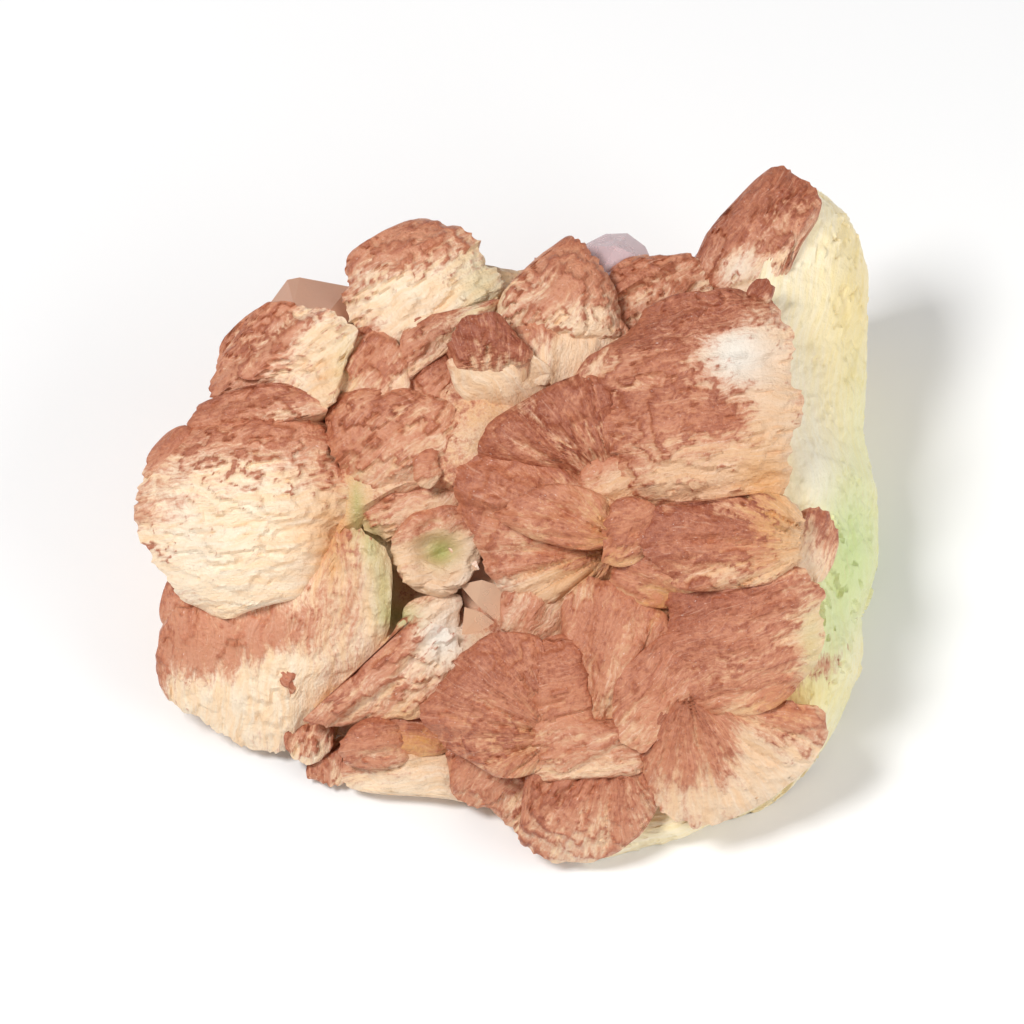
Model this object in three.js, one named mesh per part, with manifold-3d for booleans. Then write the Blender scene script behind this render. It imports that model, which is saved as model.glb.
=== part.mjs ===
// A stilbite and apophyllite specimen, broken off its host rock and lying on the break.
// Units are millimetres, +Z is up. The origin is on the surface that it rests on, under the
// middle of its outline.
import * as THREE from "three";
import { ConvexGeometry } from "three/addons/geometries/ConvexGeometry.js";
import { mergeVertices } from "three/addons/utils/BufferGeometryUtils.js";
import Module from "manifold-3d";

const wasm = await Module();
wasm.setup();

// The crystal face looks up and forwards, at this angle above the horizon.
const FACE_RISE = 60;
// The middle of the crystal face, and of the frame that the side sheaves are placed in.
const FACE_MIDDLE = [0.3, -2, 36];
const SIDE_MIDDLE = [0, -0.6, 0];
// The clearance between the stilbite and a crystal seated in it.
const SEAT_GAP = 0.35;
// Corners nearer to each other than this are one corner.
const SAME_CORNER = 1e-3;
// How far the uneven blades of a sheaf differ in reach, as a share of their length.
const RAGGED = 0.1;
// How much of a stack's depth the step between two blades takes.
const STEP_SHARE = 0.08;

// A sheaf's usual build, where its own row doesn't say otherwise.
const USUAL = {
  waist: 0.6, // how far from the root the blades start, as a share of the way to the cap
  lean: [0, 0], // how much the cap rises for each millimetre across and up
  dome: 3, // how far the cap falls from its middle to its rim
  blades: 4, // the ledges in the stack
  ledge: 1, // the height of a ledge
  spans: 3, // the facets along a blade
};

// The sheaves on the crystal face. A place is [across, up] or [across, up, out] of the face,
// from its middle. rim is the outline of the cap, out is how far the middle of the cap stands
// out, root is where the blades would meet, inside the mass, and streak is the angle of the
// blades' edges in degrees anticlockwise from across.
const FACE_SHEAVES = {
  left_dome: {
    rim: [[-75, 1], [-73, 9], [-68, 15], [-57, 18], [-49, 20.5], [-38, 19.5], [-34, 11], [-31.5, 4],
      [-36, -7], [-40, -16], [-51, -18], [-57, -21], [-66, -16], [-72, -8]],
    root: [-44, 2, -40], out: 12, dome: 9, streak: 6, blades: 5, ledge: 1.2, spans: 4,
  },
  left_brow: {
    rim: [[-73.5, 7], [-72, 12], [-68, 16.5], [-64, 17.5], [-60, 13], [-66, 8]],
    root: [-52, 2, -24], out: 5, dome: 2, streak: 30, blades: 2, spans: 2,
  },
  left_strip: {
    rim: [[-64.7, 17.5], [-62, 21.5], [-56, 24], [-50, 25.5], [-44, 25.5], [-36, 20.5], [-42, 18.5],
      [-54, 17], [-62, 14.5]],
    root: [-42, 10, -26], out: 5, lean: [0.15, 0], dome: 2, streak: 10, blades: 3, ledge: 1.4,
  },
  upper_left: {
    rim: [[-59.5, 26], [-58, 31], [-50, 41.5], [-44.6, 41.8], [-37, 39.5], [-31, 36], [-34, 30],
      [-36, 20.5], [-42, 23.5], [-50, 24.5], [-58.4, 23]],
    root: [-34, 22, -34], out: 4, lean: [0.25, -0.1], dome: 2, streak: 34, blades: 4, ledge: 1.8,
  },
  upper_left_tip: {
    rim: [[-59.5, 30], [-58, 35], [-54, 39], [-50, 41.8], [-47, 40], [-56, 28]],
    root: [-40, 26, -24], out: -5, dome: 1, streak: 42, blades: 2, spans: 2,
  },
  lower_left: {
    rim: [[-70, -24], [-66, -19], [-50, -16], [-39, -12], [-35, -4], [-29, -5], [-25, -10], [-25, -22],
      [-27, -29], [-34, -36], [-42.8, -41.7], [-45, -46.5], [-50, -47], [-59, -43.3], [-67, -38.5],
      [-70, -34]],
    root: [-36, -14, -34], out: 4, lean: [0.1, 0.3], dome: 4, streak: 86, blades: 4, ledge: 1.1, spans: 3,
  },
  left_knuckle: {
    rim: [[-67, -11], [-69.5, -14], [-71, -19], [-70.5, -22.5], [-64, -25], [-61, -17]],
    root: [-50, -12, -24], out: -3, dome: 2, streak: 70, blades: 2, spans: 2,
  },
  left_toe: {
    rim: [[-70, -23.5], [-72, -29], [-72, -33], [-70, -35.5], [-64, -39], [-62, -25]],
    root: [-50, -22, -26], out: -7, dome: 2, streak: 60, blades: 2, spans: 2,
  },
  left_foot: {
    rim: [[-46, -44], [-45, -48], [-41, -50.8], [-36, -48], [-36, -41]],
    root: [-32, -34, -20], out: -4, dome: 1, streak: 70, blades: 2, spans: 2,
  },
  bud: {
    rim: [[-41.4, -51], [-41, -53.5], [-38, -54.4], [-33, -54.8], [-32, -49], [-38, -47.5]],
    root: [-30, -42, -18], out: -5, dome: 1, streak: 80, blades: 2, spans: 2,
  },
  small_barrel: {
    rim: [[-34.8, -48], [-33.4, -44.4], [-30.5, -41.7], [-26, -40.8], [-22, -44], [-21, -50.8], [-31, -51.4]],
    root: [-14, -56, -12], out: 4, dome: 2, streak: 10, blades: 2, ledge: 1.2, spans: 2,
  },
  small_barrel_side: {
    rim: [[-34.5, -49], [-33.5, -55.6], [-28, -56.6], [-15, -57], [-9, -58.5], [-9, -50], [-20, -47]],
    root: [-14, -48, -22], out: -1, lean: [0.1, 0.3], dome: 1, streak: 4, blades: 2, ledge: 0.7, spans: 2,
  },
  orange_block: {
    rim: [[-27, -41], [-24, -39], [-17, -39], [-13, -42], [-13, -48], [-20, -49], [-25, -47]],
    root: [-16, -38, -24], out: 2, dome: 1, streak: 0, blades: 2, ledge: 0.5, spans: 2,
  },
  slope_blades: {
    rim: [[-22, -21], [-24, -25], [-27.3, -29], [-33.7, -36], [-42.8, -41.7], [-35.5, -42.6],
      [-27.3, -41], [-17, -40.6], [-13, -36], [-10, -30], [-12, -24]],
    root: [-20, -26, -30], out: 6, lean: [0.2, 0.1], dome: 2, streak: 42, blades: 3, ledge: 1.6, spans: 2,
  },
  top_knob: {
    rim: [[-33.4, 50], [-31.4, 52.6], [-25.5, 56.3], [-19.4, 59], [-13.7, 58], [-9, 55.4], [-5, 49.7],
      [-1.4, 44.4], [-9, 39], [-18, 38], [-22, 33], [-28, 33], [-31, 37], [-32.8, 45]],
    root: [-14, 30, -44], out: 3, lean: [0, -0.2], dome: 6, streak: 32, blades: 4, ledge: 1.5, spans: 3,
  },
  small_mid: {
    rim: [[-22.3, 35.6], [-19, 39], [-9, 40.5], [-2, 43], [-4, 39], [-11, 33], [-17.8, 28.8], [-21.5, 26]],
    root: [-10, 26, -26], out: 5, lean: [0, -0.2], dome: 1, streak: 32, blades: 2, ledge: 1.2,
  },
  mid_wedge: {
    rim: [[-22.5, 24.7], [-15, 32], [-11, 28], [-12, 21], [-18, 21.5]],
    root: [-14, 20, -20], out: 5, dome: 1, streak: 40, blades: 2, spans: 2,
  },
  barrel: {
    rim: [[-12.3, 29], [-12, 33.5], [-9, 38.3], [-3, 39.9], [1, 34.5], [4.8, 30.8], [-1.4, 28], [-7, 28]],
    root: [1, 4, -14], waist: 0.4, out: 12, lean: [0, 0.1], dome: 2, streak: -25, blades: 4, ledge: 0.9,
  },
  barrel_side: {
    rim: [[-12.5, 30], [-11, 24], [-5, 19], [0, 18.5], [6.5, 22], [8, 28], [4, 31], [-4, 31]],
    root: [0, 30, -20], out: 8, lean: [0, 0.5], dome: 1.5, streak: -52, blades: 2, ledge: 0.4, spans: 2,
  },
  peak: {
    rim: [[12.2, 56], [6.3, 51.5], [3, 48.5], [-1.5, 44], [-3, 38], [4, 35], [14, 34], [22, 35], [20, 43.3],
      [19, 47], [15.9, 51.5]],
    root: [13, 14, -26], out: 7, lean: [0, -0.3], dome: 5, streak: 50, blades: 4, ledge: 1.4, spans: 2,
  },
  peak_side: {
    rim: [[-1, 38], [4, 26], [9, 25], [15, 26], [21, 31], [24, 35], [20, 40], [8, 42]],
    root: [12, 24, -22], out: 7, lean: [0, -0.2], dome: 2, streak: 86, blades: 3, ledge: 1, spans: 1,
  },
  back_block: {
    rim: [[19.5, 48], [22.7, 50.6], [25.4, 51.3], [36.3, 51.3], [38.6, 47], [40.5, 42], [33, 41],
      [26.3, 38], [22, 34]],
    root: [30, 34, -34], out: -1, lean: [0, -0.35], dome: 2, streak: 33, blades: 3, ledge: 1.6, spans: 2,
  },
  top_peak: {
    rim: [[37, 48], [38.4, 53], [40.4, 57.4], [44.5, 61.7], [49, 66.5], [52.7, 69], [57, 68], [62.5, 62],
      [59, 56], [56, 50], [53, 42], [46.3, 42], [39, 43]],
    root: [56, 34, -40], out: -2, lean: [0.1, -0.2], dome: 4, streak: 52, blades: 4, ledge: 1.6, spans: 2,
  },
  shoulder: {
    rim: [[17.5, 31], [24, 35], [27, 40], [33, 42.6], [42.7, 43.5], [51, 41], [54, 34], [55, 20], [54, 5],
      [48, 1.5], [30, 0.5], [22, 5], [19.5, 12], [17.5, 19], [16, 25]],
    root: [44, 16, -32], out: 20, lean: [0.05, -0.12], dome: 7, streak: 8, blades: 6, ledge: 1.4, spans: 3,
  },
  shoulder_wing: {
    rim: [[12.5, 27], [14.5, 30], [19, 33], [22, 28], [19, 22], [15, 24]],
    root: [24, 20, -20], out: 12, dome: 1, streak: 60, blades: 2, spans: 2,
  },
  mid_arc: {
    rim: [[-6.4, 13], [-3.7, 18], [-0.5, 20], [7.2, 24.5], [14.5, 27.5], [18.5, 24], [21, 15], [22, 9],
      [18, 5], [9, 9], [0, 10], [-5, 10.5]],
    root: [12, 6, -24], out: 13, lean: [0.15, -0.05], dome: 3, streak: 20, blades: 3, ledge: 1.3, spans: 3,
  },
  pale_lobe: {
    rim: [[12.5, 7], [15.9, 10], [21, 12], [25, 9], [26, 3], [20, 1], [16, 3]],
    root: [22, 2, -20], out: 17, dome: 2, streak: 30, blades: 2, ledge: 0.8, spans: 2,
  },
  centre_fan: {
    rim: [[-11, 5], [-10, 9.6], [-6.4, 12], [0, 12.2], [8, 12], [14, 7], [21.3, 2], [22, -8], [20, -13],
      [12.2, -17], [5.4, -18], [0, -17], [-3, -14], [-6, -8], [-10, 0]],
    root: [20, -6, -20], out: 13, lean: [0.1, 0], dome: 4, streak: -14, blades: 5, ledge: 1, spans: 2,
  },
  centre_fan_upper: {
    rim: [[-2.8, -1], [1, 2.5], [5.4, 5], [10, 5.4], [14.5, 4.6], [22, 1.5], [22.5, -6], [14, -7.5],
      [4, -5]],
    root: [24, -4, -12], out: 18, lean: [0.12, 0], dome: 2, streak: -6, blades: 4, ledge: 0.9, spans: 2,
  },
  junction: {
    rim: [[20.5, 2], [24, 3], [28.5, 0], [28, -5], [24.5, -8], [20.5, -8]],
    root: [25, -3, -12], out: 21, dome: 1.5, streak: 20, blades: 2, ledge: 0.6, spans: 2,
  },
  right_band: {
    rim: [[25, -7], [27, 0.5], [32, 1.6], [41, 2.4], [53, 4], [57, -3], [56, -9], [51.8, -13.5],
      [41, -15], [33, -15]],
    root: [52, -3, -26], out: 23, lean: [-0.05, 0], dome: 3, streak: 12, blades: 4, ledge: 1, spans: 3,
  },
  band_lobe: {
    rim: [[19.5, -15], [19.5, -11], [22.7, -7.5], [27, -5.5], [34, -12], [37, -15], [31, -19], [25, -18.5]],
    root: [34, -10, -16], out: 18, lean: [0.1, 0], dome: 2, streak: -22, blades: 2, ledge: 0.9, spans: 2,
  },
  mid_left_upper: {
    rim: [[-31, 36], [-34, 34], [-36, 28], [-37, 23], [-32, 20], [-21, 23], [-20.5, 27], [-23, 34],
      [-27, 35.5]],
    root: [-24, 22, -28], out: 5, lean: [0.1, -0.1], dome: 2, streak: 55, blades: 3, ledge: 1.2, spans: 2,
  },
  mid_left: {
    rim: [[-37, 19], [-35, 22.4], [-31, 24.5], [-18, 23.5], [-12.5, 22.5], [-11, 16], [-10, 7], [-20, 5],
      [-30, 4.5], [-34.6, 9]],
    root: [-18, 10, -26], out: 9, lean: [0.1, 0], dome: 4, streak: 38, blades: 3, ledge: 1.2, spans: 3,
  },
  mid_left_bud: {
    rim: [[-20.5, 9], [-19, 12], [-15.5, 12.5], [-14, 7], [-17, 4]],
    root: [-16, 6, -14], out: 11, dome: 1, streak: 30, blades: 2, ledge: 0.5, spans: 2,
  },
  mid_left_foot: {
    rim: [[-31, 4], [-24, 6], [-10, 7], [-9, 1], [-17, -1], [-21, -4], [-25, -6], [-30, -3]],
    root: [-18, 2, -24], out: 4, lean: [0.1, 0], dome: 2, streak: 24, blades: 2, ledge: 0.8, spans: 2,
  },
  ring_lobe_upper: {
    rim: [[-25, -8], [-23.5, -4.5], [-19, 0], [-14.6, 1.6], [-9.5, 1], [-5, -3], [-8, -6], [-13, -4.5],
      [-17.5, -6], [-19.5, -9]],
    root: [-15, -6, -24], out: 5, dome: 1, streak: 20, blades: 2, ledge: 0.6, spans: 2,
  },
  ring_lobe_lower: {
    rim: [[-25, -9], [-19, -8], [-17, -11.5], [-12, -11.5], [-10, -16], [-15, -17], [-21, -15]],
    root: [-15, -10, -24], out: 3, dome: 1, streak: -20, blades: 2, ledge: 0.6, spans: 2,
  },
  pocket_lip: {
    rim: [[-21, -18], [-15, -16.5], [-10, -17], [-11, -21], [-11, -27], [-16, -29], [-22, -24]],
    root: [-14, -20, -24], out: 2, lean: [-0.1, 0], dome: 1, streak: 30, blades: 2, ledge: 0.8, spans: 2,
  },
  pink_panel: {
    rim: [[-2, -15], [5, -17], [11.5, -16], [12, -25], [5, -27.5], [0, -25.5], [-2.5, -23]],
    root: [6, -20, -24], out: 10, lean: [0, 0.1], dome: 1, streak: 55, blades: 2, ledge: 0.8, spans: 2,
  },
  dark_fan: {
    rim: [[-17.8, -39.5], [-15.5, -36], [-12.8, -32.7], [-9, -28], [-4, -24], [6, -25], [8, -36],
      [7, -50], [-2.4, -52.6], [-12.4, -46.6]],
    root: [2, -38, -24], out: 14, lean: [0.25, 0], dome: 3, streak: 4, blades: 5, ledge: 1, spans: 3,
  },
  front_fringe: {
    rim: [[-13, -46], [-11.5, -56.8], [-8, -58.7], [-4, -59.3], [-2, -61], [0.5, -63], [2, -65.6], [7, -64],
      [7, -50], [-2, -50]],
    root: [2, -44, -22], out: 2, lean: [0.15, 0.3], dome: 1, streak: 50, blades: 3, ledge: 0.8, spans: 2,
  },
  centre_low: {
    rim: [[10, -17.5], [14.5, -14.4], [18, -13.5], [22, -14.5], [31, -22], [31, -27], [24, -30],
      [22, -37], [21, -42], [15, -42], [12, -33], [10.5, -26]],
    root: [20, -26, -26], out: 17, lean: [0.05, 0.05], dome: 3, streak: 72, blades: 4, ledge: 1.1, spans: 3,
  },
  low_ridge: {
    rim: [[4.5, -27], [9, -24.5], [14, -27], [15.5, -36], [16, -41], [22, -40], [26, -46], [26, -51.5],
      [14, -52], [5, -53], [4, -40]],
    root: [14, -40, -26], out: 18, lean: [0, 0.05], dome: 3, streak: 14, blades: 4, ledge: 1.2, spans: 3,
  },
  bottom_fan: {
    rim: [[1.5, -65], [3, -56], [4, -50], [14, -50], [26, -49.5], [29.5, -56], [26, -63], [20, -68],
      [13, -69.4], [7, -69], [4, -67]],
    root: [18, -40, -26], out: 11, lean: [0, 0.35], dome: 3, streak: 60, blades: 4, ledge: 1.2, spans: 2,
  },
  right_plate: {
    rim: [[31, -13], [45, -13.5], [56, -10.5], [60, -15], [60.5, -22], [58, -31], [52, -38], [44, -40],
      [35, -37], [31, -29], [31, -20]],
    root: [46, -24, -30], out: 21, lean: [0.05, 0.05], dome: 3, streak: 20, blades: 3, ledge: 0.9, spans: 3,
  },
  plate_shadow: {
    rim: [[21, -33], [24, -29], [31, -23], [37, -24], [37, -37], [30, -41], [27, -48], [21, -38]],
    root: [32, -32, -26], out: 18, lean: [0, 0.05], dome: 1, streak: 50, blades: 2, ledge: 0.6, spans: 2,
  },
  low_plate: {
    rim: [[26, -39], [36, -35.5], [46, -38], [60, -39], [61.5, -45], [58, -51], [50, -57], [44, -60],
      [36, -62], [29, -58], [26, -50]],
    root: [42, -38, -28], out: 15, lean: [-0.1, 0.3], dome: 3, streak: 60, blades: 3, ledge: 0.8, spans: 3,
  },
  right_patch: {
    rim: [[54, -13], [54, -5], [56, -1], [60, 1], [64.5, -3], [64, -9], [61, -14]],
    root: [52, -8, -16], out: 15, lean: [-0.4, 0], dome: 1, streak: 60, blades: 2, ledge: 0.8, spans: 2,
  },
};

// The sheaves round the sides, which the crystal face hides. Each is an oval, long by deep,
// round at, which is [across, up, out] as seen from outside, from the heading in degrees round
// from the front and the rise above level that the sheaf faces.
const SIDE_SHEAVES = {
  front_left_low: { heading: -60, rise: 14, at: [-7, 3, 62], long: 13, deep: 8, streak: -14, blades: 2 },
  left_low: { heading: -92, rise: 8, at: [-2, 8, 68], long: 18, deep: 12, streak: 10, blades: 3 },
  left_high: { heading: -104, rise: 34, at: [2, 2, 61], long: 18, deep: 13, streak: 20, blades: 3 },
  left_back_low: { heading: -128, rise: 4, at: [2, 13, 69], long: 20, deep: 15, streak: -12, blades: 3 },
  back_left_high: { heading: -152, rise: 30, at: [8, 5, 66], long: 21, deep: 15, streak: 24, blades: 3 },
  back_left_low: { heading: -168, rise: 6, at: [0, 6, 65], long: 20, deep: 12, streak: 8, blades: 3 },
  back_high: { heading: 178, rise: 30, at: [-2, 4, 61], long: 20, deep: 15, streak: -14, blades: 3 },
  back_low: { heading: 166, rise: 4, at: [-6, 14, 65], long: 20, deep: 15, streak: -10, blades: 3 },
  back_right_high: { heading: 154, rise: 26, at: [2, 8, 68], long: 19, deep: 15, streak: 16, blades: 3 },
  back_right_low: { heading: 144, rise: 2, at: [-4, 13, 72], long: 22, deep: 14, streak: 12, blades: 3 },
};

// The broken wall at the right. Each station has a point on the crest, where the sheaves end,
// and one on the rim, which is the specimen's outline, both [across, up, out] of the face.
const WALL = [
  { crest: [55, 62, -10], rim: [64.3, 65.1, -20] },
  { crest: [56, 56, -6], rim: [70.4, 57.6, -22] },
  { crest: [53, 44, 2], rim: [72.9, 44.4, -24] },
  { crest: [52, 32, 10], rim: [72.9, 30.3, -24] },
  { crest: [52, 18, 14], rim: [72.4, 16.2, -24] },
  { crest: [53, 4, 18], rim: [74, 3, -22] },
  { crest: [55, -8, 17], rim: [74.9, -9.1, -21] },
  { crest: [58, -20, 15], rim: [71.9, -22.2, -18] },
  { crest: [57, -32, 13], rim: [69.2, -34.3, -14] },
  { crest: [56, -43, 8], rim: [63.8, -45.5, -9] },
  { crest: [48, -54, 4], rim: [51, -58.1, -6] },
  { crest: [36, -59, 3], rim: [37.7, -63.6, -4] },
  { crest: [24, -62, 2], rim: [25.5, -67.7, -3] },
  { crest: [15, -62, 1], rim: [14.3, -70.1, -3] },
];
const WALL_SWELL = 5; // how far the wall bulges between its crest and its rim
const WALL_ROUGH = 4; // how uneven the break is
const WALL_UNDERCUT = 6; // how far the foot of the wall stands in from its rim
const WALL_FOOT = -4; // the wall is closed below the surface that the specimen rests on
const WALL_INSIDE = [[30, 10, -20], [30, -20, -20], [30, 34, -58]]; // where it ends in the mass

// The ellipsoids that fill the mass under the sheaves: two in the frame of the crystal face and
// one in the part's, and the one that the pocket in the middle of the face is hollowed by.
const HEART = { at: [2, -4, -22], radii: [58, 54, 29] };
const HEART_RIGHT = { at: [40, -8, -14], radii: [30, 46, 27] };
const BASE = { at: [2, 12, 0], radii: [60, 46, 38] };
const HOLLOW = { at: [-17, -11, 10], radii: [19, 17, 19] };

// The apophyllite crystals, each the hull of its corners, which are places on the face.
const APOPHYLLITE = {
  apophyllite_back: [
    [[14, 53.8, -12], [19, 56.4, -14], [23.4, 56.6, -15], [27, 53.8, -13], [28.5, 50, -8], [21, 53.5, -6],
      [17.7, 48, -5], [16, 42, -14], [28, 42, -14], [20, 40, -24]],
  ],
  apophyllite_left: [
    [[-49, 42, -10], [-45.5, 47, -12], [-43, 47.5, -12], [-32.8, 45.6, -12], [-31, 37, -6], [-37.3, 39.4, -1],
      [-43.7, 41.5, -3], [-46, 36, -14], [-32, 34, -14]],
  ],
  apophyllite_pocket: [
    [[-12.8, -7.2, 1], [-8.2, -6.3, 2], [-6.5, -11.5, 4], [-9.5, -12, 2], [-12, -12, -10], [-7, -8, -10]],
    [[-10.5, -14.5, 2], [-6, -13.5, 5], [-1.5, -15, 5], [-1.5, -23, 4], [-7, -18.5, 4], [-8, -14, -10],
      [-2, -16, -10], [-3, -22, -10]],
    [[-9.5, -19, 1], [-6, -20, 5], [-3.4, -22, 5], [-5.5, -25, 4], [-10, -24.5, 1], [-8, -20, -10],
      [-4, -22, -10], [-8, -25, -8]],
    [[-11.5, -8.5, -3], [-7.5, -7.5, -3], [-2.5, -15.5, -3], [-2.5, -22, -3], [-8.5, -24, -3], [-9, -10, -12],
      [-4, -20, -12]],
  ],
  apophyllite_rim: [
    [[36, 50.5, -10], [38.6, 53.8, -10], [39.5, 52, -7], [39, 48, -6], [36, 47, -14], [40, 49, -14]],
  ],
};

const FINISH = {
  stilbite: { color: 0xd79a7c, roughness: 0.55, metalness: 0 },
  clear: { color: 0xe6dcd8, roughness: 0.12, metalness: 0 },
  brown: { color: 0xa77d64, roughness: 0.15, metalness: 0 },
  green: { color: 0xb9c08e, roughness: 0.15, metalness: 0 },
};

// A repeatable number from 0 to 1 for a seed.
function chance(seed) {
  const x = Math.sin(seed * 127.1 + 11.7) * 43758.5453;
  return x - Math.floor(x);
}

// The frame that faces a heading and a rise: turns [across, up, out] into the part's frame.
function facing(heading, rise, middle) {
  const turn = THREE.MathUtils.degToRad(heading);
  const lift = THREE.MathUtils.degToRad(rise);
  const out = new THREE.Vector3(
    Math.sin(turn) * Math.cos(lift), -Math.cos(turn) * Math.cos(lift), Math.sin(lift),
  );
  const across = new THREE.Vector3(Math.cos(turn), Math.sin(turn), 0);
  const up = out.clone().cross(across);
  return ([a, b, c]) => new THREE.Vector3(...middle)
    .addScaledVector(across, a).addScaledVector(up, b).addScaledVector(out, c);
}

const fromFace = facing(0, FACE_RISE, FACE_MIDDLE);

// Vertices and triangles as a solid.
function solidOf(vertProperties, triVerts) {
  return new wasm.Manifold(new wasm.Mesh({ numProp: 3, vertProperties, triVerts }));
}

// A closed geometry as a solid.
function solidFrom(geometry) {
  const bare = geometry.clone();
  bare.deleteAttribute("normal");
  bare.deleteAttribute("uv");
  const merged = mergeVertices(bare, SAME_CORNER);
  return solidOf(merged.attributes.position.array, new Uint32Array(merged.index.array));
}

// A solid as a closed geometry.
function geometryFrom(solid) {
  const { numProp, numVert, vertProperties, triVerts } = solid.getMesh();
  const places = new Float32Array(numVert * 3);
  for (let i = 0; i < numVert; i++) {
    places.set(vertProperties.subarray(i * numProp, i * numProp + 3), i * 3);
  }
  const geometry = new THREE.BufferGeometry();
  geometry.setAttribute("position", new THREE.BufferAttribute(places, 3));
  geometry.setIndex(new THREE.BufferAttribute(triVerts, 1));
  return geometry;
}

// A solid as a named mesh.
function meshFrom(name, solid, finish) {
  const geometry = geometryFrom(solid);
  geometry.computeVertexNormals();
  const mesh = new THREE.Mesh(geometry, new THREE.MeshStandardMaterial(finish));
  mesh.name = name;
  return mesh;
}

// Where the line at t across the stack enters and leaves an outline of [along, across] points.
function chordOf(outline, t) {
  const cuts = [];
  outline.forEach(([s0, t0], i) => {
    const [s1, t1] = outline[(i + 1) % outline.length];
    if ((t0 <= t) !== (t1 <= t)) cuts.push(s0 + ((s1 - s0) * (t - t0)) / (t1 - t0));
  });
  return [Math.min(...cuts), Math.max(...cuts)];
}

// One sheaf: a stack of blades that fan out from the root to a stepped, domed cap. place turns
// its own [across, up, out] into the part's frame.
function sheafSolid(sheaf, seed, place) {
  const s = { ...USUAL, ...sheaf };
  const angle = THREE.MathUtils.degToRad(s.streak);
  const [c, d] = [Math.cos(angle), Math.sin(angle)];
  const outline = s.rim.map(([a, b]) => [a * c + b * d, b * c - a * d]);
  const low = Math.min(...outline.map(([, t]) => t));
  const high = Math.max(...outline.map(([, t]) => t));
  const middle = [0, 1].map((k) => s.rim.reduce((sum, p) => sum + p[k], 0) / s.rim.length);
  const columns = s.blades * 2 - 1;
  const box = new THREE.BoxGeometry(2, 2, 2, s.spans, columns);
  const corner = box.attributes.position;
  for (let i = 0; i < corner.count; i++) {
    const column = Math.round(((corner.getY(i) + 1) / 2) * columns);
    const blade = Math.floor(column / 2);
    const inner = column === 0 || column === columns ? 0.02 : STEP_SHARE / 2;
    const y = ((blade + (column % 2 ? 1 - inner : inner)) / s.blades) * 2 - 1;
    const x = corner.getX(i);
    const t = low + ((high - low) * (y + 1)) / 2;
    const [from, to] = chordOf(outline, t);
    const reach = 1 + RAGGED * (chance(seed + blade * 5.3 + 40) - 0.5);
    const along = (from + to) / 2 + ((to - from) / 2) * x * reach;
    const lift = (chance(seed + blade * 3.7) - 0.5) * 2 * s.ledge;
    const fall = s.dome * Math.sqrt(x ** 4 + y ** 4);
    const a = along * c - t * d;
    const b = along * d + t * c;
    const out = s.out + (a - middle[0]) * s.lean[0] + (b - middle[1]) * s.lean[1] - fall + lift;
    const grown = s.waist + (1 - s.waist) * (corner.getZ(i) + 1) / 2;
    const p = place([a, b, out].map((v, k) => s.root[k] + (v - s.root[k]) * grown));
    corner.setXYZ(i, p.x, p.y, p.z);
  }
  return solidFrom(box);
}

// The outline of a side sheaf, an oval of eight points.
function ovalRim([across, up], long, deep) {
  return Array.from({ length: 8 }, (_, i) => {
    const turn = ((i + 0.5) * Math.PI) / 4;
    return [across + long * Math.cos(turn), up + deep * Math.sin(turn)];
  });
}

// An ellipsoid that fills the mass, placed by a frame.
function ellipsoidSolid({ at, radii }, place) {
  const ball = new THREE.IcosahedronGeometry(1, 3);
  const corner = ball.attributes.position;
  for (let i = 0; i < corner.count; i++) {
    const unit = [corner.getX(i), corner.getY(i), corner.getZ(i)];
    const p = place(unit.map((v, k) => at[k] + v * radii[k]));
    corner.setXYZ(i, p.x, p.y, p.z);
  }
  return solidFrom(ball);
}

// The points of the broken wall at a station, from the crest over the rim to the foot.
function wallRow({ crest, rim }, i) {
  const top = fromFace(crest);
  const edge = fromFace(rim);
  const away = new THREE.Vector3(edge.x, edge.y, 0).normalize();
  const upper = [0.33, 0.67].map((share, k) => {
    const bulge = WALL_SWELL * Math.sin(share * Math.PI) + WALL_ROUGH * (chance(i * 3.1 + k * 7.7) - 0.5);
    const point = top.clone().lerp(edge, share).addScaledVector(away, bulge * 0.6);
    return point.setZ(point.z + bulge * 0.8);
  });
  const lower = [0.3, 0.65, 1].map((share, k) => {
    const dent = WALL_ROUGH * (chance(i * 5.9 + k * 3.3 + 9) - 0.5) + share * WALL_UNDERCUT;
    const point = edge.clone().addScaledVector(away, -dent);
    return point.setZ(edge.z + (Math.min(WALL_FOOT, edge.z - 1) - edge.z) * share);
  });
  return [top, ...upper, edge, ...lower];
}

// The broken wall: a hull between each two stations and the inside of the mass.
function wallSolid() {
  const rows = WALL.map(wallRow);
  const inside = WALL_INSIDE.map(fromFace);
  const hulls = rows.slice(1).map((row, i) => solidFrom(new ConvexGeometry([...rows[i], ...row, ...inside])));
  return hulls.reduce((sum, hull) => sum.add(hull));
}

// Everything below the resting surface, to cut the specimen off flat.
function groundSolid() {
  const slab = new THREE.BoxGeometry(400, 400, 100);
  slab.translate(0, 0, -50);
  return solidFrom(slab);
}

// The hulls of an apophyllite's crystals, joined. room swells each from its own middle.
function crystalSolid(hulls, room) {
  const solids = hulls.map((corners) => {
    const points = corners.map(fromFace);
    const middle = points.reduce((sum, p) => sum.add(p), new THREE.Vector3()).divideScalar(points.length);
    const shortest = Math.min(...points.map((p) => p.distanceTo(middle)));
    const swell = 1 + (room * 2.5) / shortest;
    const swollen = points.map((p) => p.clone().sub(middle).multiplyScalar(swell).add(middle));
    return solidFrom(new ConvexGeometry(swollen));
  });
  return solids.reduce((sum, solid) => sum.add(solid));
}

// The largest body of a solid, cleared of what comes loose once its near corners are merged.
function largest(solid) {
  const bodies = solidFrom(geometryFrom(solid)).decompose();
  const [body, ...loose] = bodies.sort((a, b) => b.volume() - a.volume());
  return loose.length ? largest(body) : body;
}

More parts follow.
